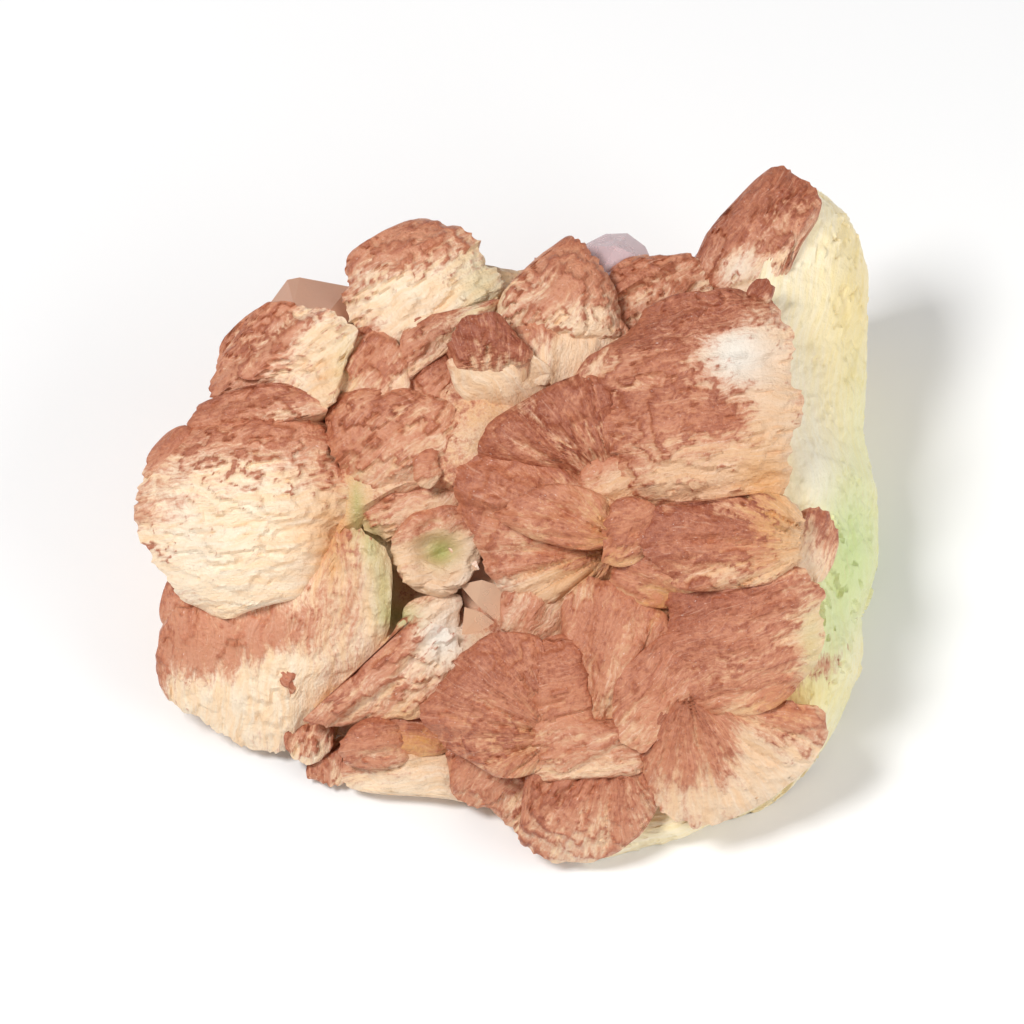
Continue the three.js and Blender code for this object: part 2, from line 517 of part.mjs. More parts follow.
function stilbiteSolid() {
  const origin = facing(0, 90, SIDE_MIDDLE);
  let mass = ellipsoidSolid(HEART, fromFace)
    .add(ellipsoidSolid(HEART_RIGHT, fromFace))
    .add(ellipsoidSolid(BASE, origin))
    .subtract(ellipsoidSolid(HOLLOW, fromFace))
    .add(wallSolid());
  Object.values(FACE_SHEAVES).forEach((sheaf, i) => {
    mass = mass.add(sheafSolid(sheaf, i * 17, fromFace));
  });
  Object.values(SIDE_SHEAVES).forEach(({ heading, rise, at, long, deep, ...build }, i) => {
    const rim = ovalRim(at, long, deep);
    const root = [at[0] * 0.4, at[1] * 0.4, at[2] - 44];
    const sheaf = { ...build, rim, root, out: at[2] };
    mass = mass.add(sheafSolid(sheaf, 1000 + i * 17, facing(heading, rise, SIDE_MIDDLE)));
  });
  let stilbite = mass.subtract(groundSolid());
  for (const hulls of Object.values(APOPHYLLITE)) {
    stilbite = stilbite.subtract(crystalSolid(hulls, SEAT_GAP));
  }
  return largest(stilbite);
}

const specimen = new THREE.Group();
specimen.add(meshFrom("stilbite_cluster", stilbiteSolid(), FINISH.stilbite));
specimen.add(meshFrom("apophyllite_back", crystalSolid(APOPHYLLITE.apophyllite_back, 0), FINISH.clear));
specimen.add(meshFrom("apophyllite_left", crystalSolid(APOPHYLLITE.apophyllite_left, 0), FINISH.brown));
specimen.add(meshFrom("apophyllite_pocket", crystalSolid(APOPHYLLITE.apophyllite_pocket, 0), FINISH.green));
specimen.add(meshFrom("apophyllite_rim", crystalSolid(APOPHYLLITE.apophyllite_rim, 0), FINISH.clear));

export default specimen;
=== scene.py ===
"""The looks of a stilbite and apophyllite specimen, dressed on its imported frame.

The specimen's own sizes are in millimetres here, and turn into metres as a mesh is written.
Every sheaf of stilbite is a stack of thin blades that fan out from a root inside the mass to a
stepped cap. A place on the crystal face is [across, up, out] from the middle of that face.
"""
import math
from types import SimpleNamespace

import bmesh
import bpy
import numpy as np
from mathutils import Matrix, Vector


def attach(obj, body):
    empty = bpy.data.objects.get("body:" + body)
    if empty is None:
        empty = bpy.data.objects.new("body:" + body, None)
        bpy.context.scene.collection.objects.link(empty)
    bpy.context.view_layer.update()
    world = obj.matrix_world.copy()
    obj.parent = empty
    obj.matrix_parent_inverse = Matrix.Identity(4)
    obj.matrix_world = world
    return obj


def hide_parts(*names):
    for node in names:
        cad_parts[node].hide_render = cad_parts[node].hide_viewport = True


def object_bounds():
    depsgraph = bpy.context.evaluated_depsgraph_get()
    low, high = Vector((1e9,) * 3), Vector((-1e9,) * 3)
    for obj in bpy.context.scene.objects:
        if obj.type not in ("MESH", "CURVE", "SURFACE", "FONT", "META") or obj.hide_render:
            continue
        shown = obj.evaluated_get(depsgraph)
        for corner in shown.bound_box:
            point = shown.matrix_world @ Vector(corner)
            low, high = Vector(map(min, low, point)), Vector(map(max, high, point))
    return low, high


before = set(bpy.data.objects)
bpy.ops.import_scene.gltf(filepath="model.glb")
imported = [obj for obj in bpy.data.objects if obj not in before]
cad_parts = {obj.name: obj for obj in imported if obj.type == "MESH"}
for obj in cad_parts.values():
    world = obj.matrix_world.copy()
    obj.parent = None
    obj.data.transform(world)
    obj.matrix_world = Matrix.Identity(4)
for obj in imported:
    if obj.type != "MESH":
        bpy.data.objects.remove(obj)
cad_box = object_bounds()
bpy.ops.object.select_all(action="DESELECT")

MM = 0.001  # metres in a millimetre

# The crystal face looks up and forwards, at this angle above the horizon.
FACE_RISE = 60
FACE_MIDDLE = (0.3, -2, 36)
SIDE_MIDDLE = (0, -0.6, 0)

# How far the uneven blades of a sheaf differ in reach, as a share of their length.
RAGGED = 0.1
CAP_GRAIN = 0.46  # the size of a facet on a cap
SIDE_GRAIN = 0.9  # and down the side of a sheaf
OVERLAP = 1.06  # how far a cap's outline is let out, so that no gap shows beside it
BIG_STEP = 1.3  # the height of a cap's bold ledges
FINE_STEP = 0.5  # and of the fine ones on them
BRINK = 0.72  # how far along its terrace a ledge starts to climb to the next
RIB_WIDTH = 1.5  # the width of a fan's ribs is pi times this

# Layers of noise on a sheaf: how high each is, how long its bumps are along the blades, how wide
# across them, and the number that sets its seed apart.
RIM_ENDS = [(0.5, 0.8, 1, 0), (0.5, 3, 1, 1)]
SWELL = [(1, 11, 4.5, 1), (0.6, 4.5, 1.6, 2), (0.4, 2.6, 2, 12)]
CRUMB = [(0.2, 0.9, 0.6, 4)]
CRISPNESS = [(0.7, 14, 9, 5)]
FLUTE = [(0.5, 1.1, 1.1, 6), (0.6, 3, 3, 7)]
SEAM = [(0.2, 5, 9, 8)]
DUST_CLOUD = [(0.2, 9, 3, 9)]
DARK_CLOUD = [(0.25, 12, 5, 10)]
PLEAT = [(0.12, 9, 0.95, 15)]
FAN_PLEAT = [(0.25, 9, 0.95, 15)]
UNEVEN_HOLLOW = [(0.45, 3.5, 3.5, 16)]
FIBRE_WANDER = [(0.9, 5, 5, 17), (0.4, 1.8, 1.8, 18)]
RIB_WANDER = [(0.9, 12, 9, 19)]

# A sheaf's usual build, where its own row doesn't say otherwise: how far from the root the
# blades start, the rise of the cap across and up, its fall from middle to rim, the number of
# big blades and the height of the ledges between them.
USUAL = dict(waist=0.6, lean=(0, 0), dome=1, blades=2, ledge=1, fan=None, dimple=None)

# The sheaves on the crystal face. rim is the outline of the cap, out is how far its middle
# stands out, root is where the blades would meet, and streak is the angle of the blades' edges
# in degrees anticlockwise from across. On a fan the edges run together at the point that it
# names. A dimple is pressed in at a place, so wide and so deep. finish is the salmon dust on the
# sheaf, how dark that is, how much ochre stains the crystal under it and how crisp its ledges
# are, all from 0 to 1, and the side that the dust gathers on, in degrees from across.
FACE_SHEAVES = {
    "left_dome": dict(
        rim=[(-75, 1), (-73, 9), (-68, 15), (-57, 18), (-49, 20.5), (-38, 19.5), (-34, 11), (-31.5, 4),
             (-36, -7), (-40, -16), (-51, -18), (-57, -21), (-66, -16), (-72, -8)],
        root=(-44, 2, -40), out=12, dome=9, streak=6, blades=5, ledge=1.2,
        finish=(0.46, 0.3, 0.05, 0.9, 108)),
    "left_brow": dict(
        rim=[(-73.5, 7), (-72, 12), (-68, 16.5), (-64, 17.5), (-60, 13), (-66, 8)],
        root=(-52, 2, -24), out=5, dome=2, streak=30, finish=(0.85, 0.5, 0.1, 0.8, 110)),
    "left_strip": dict(
        rim=[(-64.7, 17.5), (-62, 21.5), (-56, 24), (-50, 25.5), (-44, 25.5), (-36, 20.5), (-42, 18.5),
             (-54, 17), (-62, 14.5)],
        root=(-42, 10, -26), out=5, lean=(0.15, 0), dome=2, streak=10, blades=3, ledge=1.4,
        finish=(0.85, 0.6, 0.1, 0.9, 100)),
    "upper_left": dict(
        rim=[(-59.5, 26), (-58, 31), (-50, 41.5), (-44.6, 41.8), (-37, 39.5), (-31, 36), (-34, 30),
             (-36, 20.5), (-42, 23.5), (-50, 24.5), (-58.4, 23)],
        root=(-34, 22, -34), out=4, lean=(0.25, -0.1), dome=2, streak=34, blades=4, ledge=1.8,
        finish=(0.62, 0.3, 0.1, 1, 150)),
    "upper_left_tip": dict(
        rim=[(-59.5, 30), (-58, 35), (-54, 39), (-50, 41.8), (-47, 40), (-56, 28)],
        root=(-40, 26, -24), out=-5, streak=42, finish=(0.7, 0.35, 0.1, 1, 150)),
    "lower_left": dict(
        rim=[(-70, -24), (-66, -19), (-50, -16), (-39, -12), (-35, -4), (-29, -5), (-25, -10), (-25, -22),
             (-27, -29), (-34, -36), (-42.8, -41.7), (-45, -46.5), (-50, -47), (-59, -43.3), (-67, -38.5),
             (-70, -34)],
        root=(-36, -14, -34), out=4, lean=(0.1, 0.3), dome=4, streak=86, blades=4, ledge=1.1,
        finish=(0.52, 0.1, 0.15, 0.7, 118)),
    "left_knuckle": dict(
        rim=[(-67, -11), (-69.5, -14), (-71, -19), (-70.5, -22.5), (-64, -25), (-61, -17)],
        root=(-50, -12, -24), out=-3, dome=2, streak=70, finish=(0.85, 0.5, 0.1, 0.7, 110)),
    "left_toe": dict(
        rim=[(-70, -23.5), (-72, -29), (-72, -33), (-70, -35.5), (-64, -39), (-62, -25)],
        root=(-50, -22, -26), out=-7, dome=2, streak=60, finish=(0.65, 0.5, 0.1, 0.7, 120)),
    "left_foot": dict(
        rim=[(-46, -44), (-45, -48), (-41, -50.8), (-36, -48), (-36, -41)],
        root=(-32, -34, -20), out=-4, streak=70, finish=(0.6, 0.4, 0.2, 0.7, 120)),
    "bud": dict(
        rim=[(-41.4, -51), (-41, -53.5), (-38, -54.4), (-33, -54.8), (-32, -49), (-38, -47.5)],
        root=(-30, -42, -18), out=-5, streak=80, finish=(0.7, 0.4, 0.1, 0.7, 120)),
    "small_barrel": dict(
        rim=[(-34.8, -48), (-33.4, -44.4), (-30.5, -41.7), (-26, -40.8), (-22, -44), (-21, -50.8),
             (-31, -51.4)],
        root=(-14, -56, -12), out=4, dome=2, streak=10, ledge=1.2, finish=(0.9, 0.6, 0.1, 0.7, 120)),
    "small_barrel_side": dict(
        rim=[(-34.5, -49), (-33.5, -55.6), (-28, -56.6), (-15, -57), (-9, -58.5), (-9, -50), (-20, -47)],
        root=(-14, -48, -22), out=-1, lean=(0.1, 0.3), streak=4, ledge=0.7,
        finish=(0.2, 0.2, 0.1, 0.4, 120)),
    "orange_block": dict(
        rim=[(-27, -41), (-24, -39), (-17, -39), (-13, -42), (-13, -48), (-20, -49), (-25, -47)],
        root=(-16, -38, -24), out=2, streak=0, ledge=0.5, finish=(0.75, 0.6, 0.9, 0.4, 90)),
    "slope_blades": dict(
        rim=[(-22, -21), (-24, -25), (-27.3, -29), (-33.7, -36), (-42.8, -41.7), (-35.5, -42.6),
             (-27.3, -41), (-17, -40.6), (-13, -36), (-10, -30), (-12, -24)],
        root=(-20, -26, -30), out=6, lean=(0.2, 0.1), dome=2, streak=42, blades=3, ledge=1.6,
        finish=(0.68, 0.4, 0.2, 0.9, 120)),
    "top_knob": dict(
        rim=[(-33.4, 50), (-31.4, 52.6), (-25.5, 56.3), (-19.4, 59), (-13.7, 58), (-9, 55.4), (-5, 49.7),
             (-1.4, 44.4), (-9, 39), (-18, 38), (-22, 33), (-28, 33), (-31, 37), (-32.8, 45)],
        root=(-14, 30, -44), out=3, lean=(0, -0.2), dome=6, streak=32, blades=4, ledge=1.5,
        finish=(0.6, 0.25, 0.05, 1, 112)),
    "small_mid": dict(
        rim=[(-22.3, 35.6), (-19, 39), (-9, 40.5), (-2, 43), (-4, 39), (-11, 33), (-17.8, 28.8),
             (-21.5, 26)],
        root=(-10, 26, -26), out=5, lean=(0, -0.2), streak=32, ledge=1.2,
        finish=(0.75, 0.45, 0.2, 0.8, 110)),
    "mid_wedge": dict(
        rim=[(-22.5, 24.7), (-15, 32), (-11, 28), (-12, 21), (-18, 21.5)],
        root=(-14, 20, -20), out=5, streak=40, finish=(0.75, 0.45, 0.2, 0.8, 110)),
    "barrel": dict(
        rim=[(-12.3, 29), (-12, 33.5), (-9, 38.3), (-3, 39.9), (1, 34.5), (4.8, 30.8), (-1.4, 28),
             (-7, 28)],
        root=(1, 4, -14), waist=0.2, out=12, lean=(0, 0.1), dome=2, fan=(2, -2), streak=-25, blades=4,
        ledge=0.9, finish=(0.95, 0.95, 0.15, 0.7, 112)),
    "barrel_side": dict(
        rim=[(-12.5, 30), (-11, 24), (-5, 19), (0, 18.5), (6.5, 22), (8, 28), (4, 31), (-4, 31)],
        root=(0, 30, -20), out=8, lean=(0, 0.5), dome=1.5, streak=-52, ledge=0.4,
        finish=(0.12, 0.2, 0.15, 0.15, 128)),
    "peak": dict(
        rim=[(12.2, 56), (6.3, 51.5), (3, 48.5), (-1.5, 44), (-3, 38), (4, 35), (14, 34), (22, 35),
             (20, 43.3), (19, 47), (15.9, 51.5)],
        root=(13, 14, -26), out=7, lean=(0, -0.3), dome=5, streak=50, blades=4, ledge=1.4,
        finish=(0.68, 0.4, 0.1, 0.9, 95)),
    "peak_side": dict(
        rim=[(-1, 38), (4, 26), (9, 25), (15, 26), (21, 31), (24, 35), (20, 40), (8, 42)],
        root=(12, 24, -22), out=7, lean=(0, -0.2), dome=2, streak=86, blades=3,
        finish=(0.52, 0.35, 0.15, 0.3, 95)),
    "back_block": dict(
        rim=[(19.5, 48), (22.7, 50.6), (25.4, 51.3), (36.3, 51.3), (38.6, 47), (40.5, 42), (33, 41),
             (26.3, 38), (22, 34)],
        root=(30, 34, -34), out=-1, lean=(0, -0.35), dome=2, streak=33, blades=3, ledge=1.6,
        finish=(0.7, 0.42, 0.05, 0.9, 130)),
    "top_peak": dict(
        rim=[(37, 48), (38.4, 53), (40.4, 57.4), (44.5, 61.7), (49, 66.5), (52.7, 69), (57, 68),
             (62.5, 62), (59, 56), (56, 50), (53, 42), (46.3, 42), (39, 43)],
        root=(56, 34, -40), out=-2, lean=(0.1, -0.2), dome=4, streak=52, blades=4, ledge=1.6,
        finish=(0.95, 0.65, 0.1, 0.9, 130)),
    "shoulder": dict(
        rim=[(17.5, 31), (24, 35), (27, 40), (33, 42.6), (42.7, 43.5), (51, 41), (54, 34), (55, 20),
             (54, 5), (48, 1.5), (30, 0.5), (22, 5), (19.5, 12), (17.5, 19), (16, 25)],
        root=(44, 16, -32), out=20, lean=(0.05, -0.12), dome=7, streak=8, blades=6, ledge=1.4,
        finish=(0.88, 0.7, 0.25, 0.6, 118)),
    "shoulder_wing": dict(
        rim=[(12.5, 27), (14.5, 30), (19, 33), (22, 28), (19, 22), (15, 24)],
        root=(24, 20, -20), out=12, streak=60, finish=(0.9, 0.7, 0.2, 0.6, 110)),
    "mid_arc": dict(
        rim=[(-6.4, 13), (-3.7, 18), (-0.5, 20), (7.2, 24.5), (14.5, 27.5), (18.5, 24), (21, 15), (22, 9),
             (18, 5), (9, 9), (0, 10), (-5, 10.5)],
        root=(12, 6, -24), out=13, lean=(0.15, -0.05), dome=3, fan=(22, 0), streak=20, blades=3, ledge=1.3,
        finish=(0.94, 0.9, 0.3, 0.5, 108)),
    "pale_lobe": dict(
        rim=[(12.5, 7), (15.9, 10), (21, 12), (25, 9), (26, 3), (20, 1), (16, 3)],
        root=(22, 2, -20), out=15, streak=30, ledge=0.8, finish=(0.5, 0.2, 0.3, 0.4, 120)),
    "centre_fan": dict(
        rim=[(-11, 5), (-10, 9.6), (-6.4, 12), (0, 12.2), (8, 12), (14, 7), (21.3, 2), (22, -8), (20, -13),
             (12.2, -17), (5.4, -18), (0, -17), (-3, -14), (-6, -8), (-10, 0)],
        root=(20, -6, -20), out=13, lean=(0.1, 0), dome=4, fan=(21, -7), streak=-14, blades=5,
        finish=(0.82, 0.6, 0.5, 0.5, 140)),
    "centre_fan_upper": dict(
        rim=[(-2.8, -1), (1, 2.5), (5.4, 5), (10, 5.4), (14.5, 4.6), (22, 1.5), (22.5, -6), (14, -7.5),
             (4, -5)],
        root=(24, -4, -12), out=18, lean=(0.12, 0), dome=2, fan=(22, -6), streak=-6, blades=4, ledge=0.9,
        finish=(0.8, 0.45, 0.6, 0.35, 140)),
    "junction": dict(
        rim=[(19.5, 2), (24, 3), (28.5, 0), (28.5, -5), (25.5, -9.5), (20.5, -11), (17.5, -9.5),
             (18.5, -5)],
        root=(25, -3, -12), out=21, dome=1.5, streak=20, ledge=0.6, finish=(0.85, 0.6, 0.4, 0.5, 110)),
    "right_band": dict(
        rim=[(25, -7), (27, 0.5), (32, 1.6), (41, 2.4), (53, 4), (57, -3), (56, -9), (51.8, -13.5),
             (41, -15), (33, -15)],
        root=(52, -3, -26), out=23, lean=(-0.05, 0), dome=3, fan=(62, -6), streak=12, blades=4,
        finish=(0.85, 0.7, 0.5, 0.5, 130)),
    "band_lobe": dict(
        rim=[(19.5, -15), (19.5, -11), (22.7, -7.5), (27, -5.5), (34, -12), (37, -15), (31, -19),
             (25, -18.5)],
        root=(34, -10, -16), out=18, lean=(0.1, 0), dome=2, streak=-22, ledge=0.9,
        finish=(0.7, 0.5, 0.4, 0.3, 120)),
    "mid_left_upper": dict(
        rim=[(-31, 36), (-34, 34), (-36, 28), (-37, 23), (-32, 20), (-21, 23), (-20.5, 27), (-23, 34),
             (-27, 35.5)],
        root=(-24, 22, -28), out=5, lean=(0.1, -0.1), dome=2, streak=55, blades=3, ledge=1.2,
        finish=(0.75, 0.4, 0.1, 0.9, 120)),
    "mid_left": dict(
        rim=[(-37, 19), (-35, 22.4), (-31, 24.5), (-18, 23.5), (-12.5, 22.5), (-11, 16), (-10, 7),
             (-20, 5), (-30, 4.5), (-34.6, 9)],
        root=(-18, 10, -26), out=9, lean=(0.1, 0), dome=4, streak=38, blades=3, ledge=1.2,
        finish=(0.68, 0.35, 0.15, 1, 130)),
    "mid_left_bud": dict(
        rim=[(-20.5, 9), (-19, 12), (-15.5, 12.5), (-14, 7), (-17, 4)],
        root=(-16, 6, -14), out=9.5, streak=30, ledge=0.5, finish=(0.6, 0.4, 0.1, 0.6, 110)),
    "mid_left_foot": dict(
        rim=[(-31, 4), (-24, 6), (-10, 7), (-9, 1), (-17, -1), (-21, -4), (-25, -6), (-30, -3)],
        root=(-18, 2, -24), out=4, lean=(0.1, 0), dome=2, streak=24, ledge=0.8,
        finish=(0.55, 0.35, 0.2, 0.8, 110)),
    "ring_lobe_upper": dict(
        rim=[(-24, -9), (-23.5, -4.5), (-19, 0), (-14.6, 1.6), (-9.5, 1), (-6, -3), (-6, -9), (-9, -14),
             (-15, -15.5), (-21, -14)],
        root=(-15, -7, -24), out=6, dome=1.5, dimple=(-14.2, -8, 4.2, 6), streak=20, ledge=0.8,
        finish=(0.6, 0.4, 0.2, 0.4, 90)),
    "ring_lobe_lower": dict(
        rim=[(-25, -9), (-19, -8), (-17, -11.5), (-12, -11.5), (-10, -16), (-15, -17), (-21, -15)],
        root=(-15, -10, -24), out=3, streak=-20, ledge=0.6, finish=(0.5, 0.3, 0.3, 0.4, 200)),
    "pocket_lip": dict(
        rim=[(-21, -18), (-15, -16.5), (-10, -17), (-11, -21), (-11, -27), (-16, -29), (-22, -24)],
        root=(-14, -20, -24), out=2, lean=(-0.1, 0), streak=30, ledge=0.8,
        finish=(0.5, 0.3, 0.2, 0.5, 120)),
    "pink_panel": dict(
        rim=[(-2, -15), (5, -17), (11.5, -16), (12, -25), (5, -27.5), (0, -25.5), (-2.5, -23)],
        root=(6, -20, -24), out=10, lean=(0, 0.1), streak=55, ledge=0.8,
        finish=(0.66, 0.3, 0.15, 0.5, 110)),
    "dark_fan": dict(
        rim=[(-17.8, -39.5), (-15.5, -36), (-12.8, -32.7), (-9, -28), (-4, -24), (6, -25), (8, -36),
             (7, -50), (-2.4, -52.6), (-12.4, -46.6)],
        root=(2, -38, -24), out=14, lean=(0.25, 0), dome=3, fan=(9, -44), streak=4, blades=5,
        finish=(0.9, 0.75, 0.4, 0.6, 130)),
    "front_fringe": dict(
        rim=[(-13, -46), (-11.5, -56.8), (-8, -58.7), (-4, -59.3), (-2, -61), (0.5, -63), (2, -65.6),
             (7, -64), (7, -50), (-2, -50)],
        root=(2, -44, -22), out=2, lean=(0.15, 0.3), streak=50, blades=3, ledge=0.8,
        finish=(0.7, 0.45, 0.3, 0.8, 120)),
    "centre_low": dict(
        rim=[(10, -17.5), (14.5, -14.4), (18, -13.5), (22, -14.5), (31, -22), (31, -27), (24, -30),
             (22, -37), (21, -42), (15, -42), (12, -33), (10.5, -26)],
        root=(20, -26, -26), out=17, lean=(0.05, 0.05), dome=3, streak=72, blades=4, ledge=1.1,
        finish=(0.78, 0.4, 0.35, 0.45, 120)),
    "low_ridge": dict(
        rim=[(4.5, -27), (9, -24.5), (14, -27), (15.5, -36), (16, -41), (22, -40), (26, -46), (26, -51.5),
             (14, -52), (5, -53), (4, -40)],
        root=(14, -40, -26), out=18, lean=(0, 0.05), dome=3, streak=14, blades=4, ledge=1.2,
        finish=(0.78, 0.35, 0.15, 0.7, 100)),
    "bottom_fan": dict(
        rim=[(1.5, -65), (3, -56), (4, -50), (14, -50), (26, -49.5), (29.5, -56), (26, -63), (20, -68),
             (13, -69.4), (7, -69), (4, -67)],
        root=(18, -40, -26), out=11, lean=(0, 0.35), dome=3, fan=(20, -42), streak=60, blades=4, ledge=1.2,
        finish=(0.78, 0.5, 0.3, 0.7, 100)),
    "right_plate": dict(
        rim=[(31, -13), (45, -13.5), (56, -10.5), (60, -15), (60.5, -22), (58, -31), (52, -38), (44, -40),
             (35, -37), (31, -29), (31, -20)],
        root=(46, -24, -30), out=21, lean=(0.05, 0.05), dome=3, streak=20, blades=3, ledge=0.9,
        finish=(0.9, 0.6, 0.4, 0.35, 120)),
    "plate_shadow": dict(
        rim=[(20.5, -33), (24, -29), (31, -23), (37, -24), (37, -37), (30, -41), (26, -48), (19.5, -42)],
        root=(32, -32, -26), out=18, lean=(0, 0.05), streak=50, ledge=0.6,
        finish=(0.8, 0.5, 0.3, 0.35, 120)),
    "low_plate": dict(
        rim=[(26, -39), (36, -35.5), (46, -38), (60, -39), (61.5, -45), (58, -51), (50, -57), (44, -60),
             (36, -62), (29, -58), (26, -50)],
        root=(42, -38, -28), out=15, lean=(-0.1, 0.3), dome=3, fan=(34, -34), streak=60, blades=3,
        ledge=0.8, finish=(0.7, 0.4, 0.3, 0.4, 120)),
    "right_patch": dict(
        rim=[(54, -13), (54, -5), (56, -1), (60, 1), (64.5, -3), (64, -9), (61, -14)],
        root=(52, -8, -16), out=15, lean=(-0.4, 0), streak=60, ledge=0.8,
        finish=(0.7, 0.5, 0.2, 0.6, 120)),
    "dark_grain": dict(
        rim=[(46, 42.6), (47.2, 45), (49, 46.6), (51, 46.4), (52, 44), (51, 41.5), (48, 41.8)],
        root=(49, 38, -6), out=12, streak=50, ledge=0.4, finish=(1.2, 1.3, 0, 0.8, 100)),
}

# The sheaves round the sides, which the crystal face hides. Each is an oval, long by deep,
# round at, which is [across, up, out] as seen from outside, from the heading in degrees round
# from the front and the rise above level that the sheaf faces.
SIDE_SHEAVES = {
    "front_left_low": dict(heading=-60, rise=14, at=(-7, 3, 60), long=13, deep=8, streak=-14, blades=2),
    "left_low": dict(heading=-92, rise=8, at=(-2, 8, 68), long=18, deep=12, streak=10),
    "left_high": dict(heading=-104, rise=34, at=(2, 2, 61), long=18, deep=13, streak=20),
    "left_back_low": dict(heading=-128, rise=4, at=(2, 13, 69), long=20, deep=15, streak=-12),
    "back_left_high": dict(heading=-152, rise=30, at=(8, 5, 66), long=21, deep=15, streak=24),
    "back_left_low": dict(heading=-168, rise=6, at=(0, 6, 65), long=20, deep=12, streak=8),
    "back_high": dict(heading=178, rise=30, at=(-2, 4, 61), long=20, deep=15, streak=-14),
    "back_low": dict(heading=166, rise=4, at=(-6, 14, 65), long=20, deep=15, streak=-10),
    "back_right_high": dict(heading=154, rise=26, at=(2, 8, 68), long=19, deep=15, streak=16),
    "back_right_low": dict(heading=144, rise=2, at=(-4, 13, 72), long=22, deep=14, streak=12),
}
SIDE_BUILD = dict(dome=3, blades=3, finish=(0.6, 0.4, 0.2, 0.9, 90))
SIDE_DEPTH = 44  # how deep in the mass the root of a side sheaf is
OFF_THE_FACE = 200  # a place across that none of the face's spots reach

# The broken wall at the right. Each station has a point on the crest, where the sheaves end,
# and one on the rim, which is the specimen's outline.
WALL = [
    ((55, 62, -10), (64.3, 65.1, -20)), ((56, 56, -6), (70.4, 57.6, -22)),
    ((53, 44, 2), (72.9, 44.4, -24)), ((52, 32, 10), (72.9, 30.3, -24)), ((52, 18, 14), (72.4, 16.2, -24)),
    ((54, 4, 14), (74, 3, -22)), ((55, -8, 17), (74.9, -9.1, -21)), ((58, -20, 15), (71.9, -22.2, -18)),
    ((57, -32, 13), (69.2, -34.3, -14)), ((56, -43, 8), (63.8, -45.5, -9)),
    ((48, -54, 4), (51, -58.1, -6)), ((36, -59, 3), (37.7, -63.6, -4)), ((24, -62, 2), (25.5, -67.7, -3)),
    ((15, -62, 1), (14.3, -70.1, -3)),
]
WALL_OVERLAP = (-4, 0, -0.5)  # how far its skin runs up over the sheaves
WALL_SWELL = 5  # how far the wall bulges between its crest and its rim
WALL_ROUGH = 4  # how uneven the break is
WALL_UNDERCUT = 6  # how far the foot of the wall stands in from its rim
WALL_FOOT = -4  # the wall is closed below the surface that the specimen rests on
WALL_INSIDE = [(30, 10, -20), (30, -20, -20), (30, 34, -58)]  # where it ends in the mass
WALL_GRID = (300, 150, 8)  # its facets along, up and under

# The wall's plates: how far they are turned, how wide, long and high they are, and their seed.
WALL_CHIPS = [(0.6, 9, 15, 0.96, 51), (1.1, 4, 7, 0.48, 52), (1.6, 1.6, 3, 0.21, 53)]
WALL_UNEVEN = [(0.8, 9, 9, 55), (0.05, 0.9, 0.9, 56)]

# The lumps that fill the mass under the sheaves, two on the crystal face and one round the base,
# and the one that the pocket in the middle of the face is hollowed by.
HEART = {"at": (2, -4, -20), "radii": (58, 54, 29)}
HEART_RIGHT = {"at": (36, -8, -12), "radii": (25, 46, 27)}
BASE = {"at": (2, 12, 0), "radii": (60, 46, 38)}
HOLLOW = {"at": (-17, -11, 10), "radii": (19, 17, 19)}

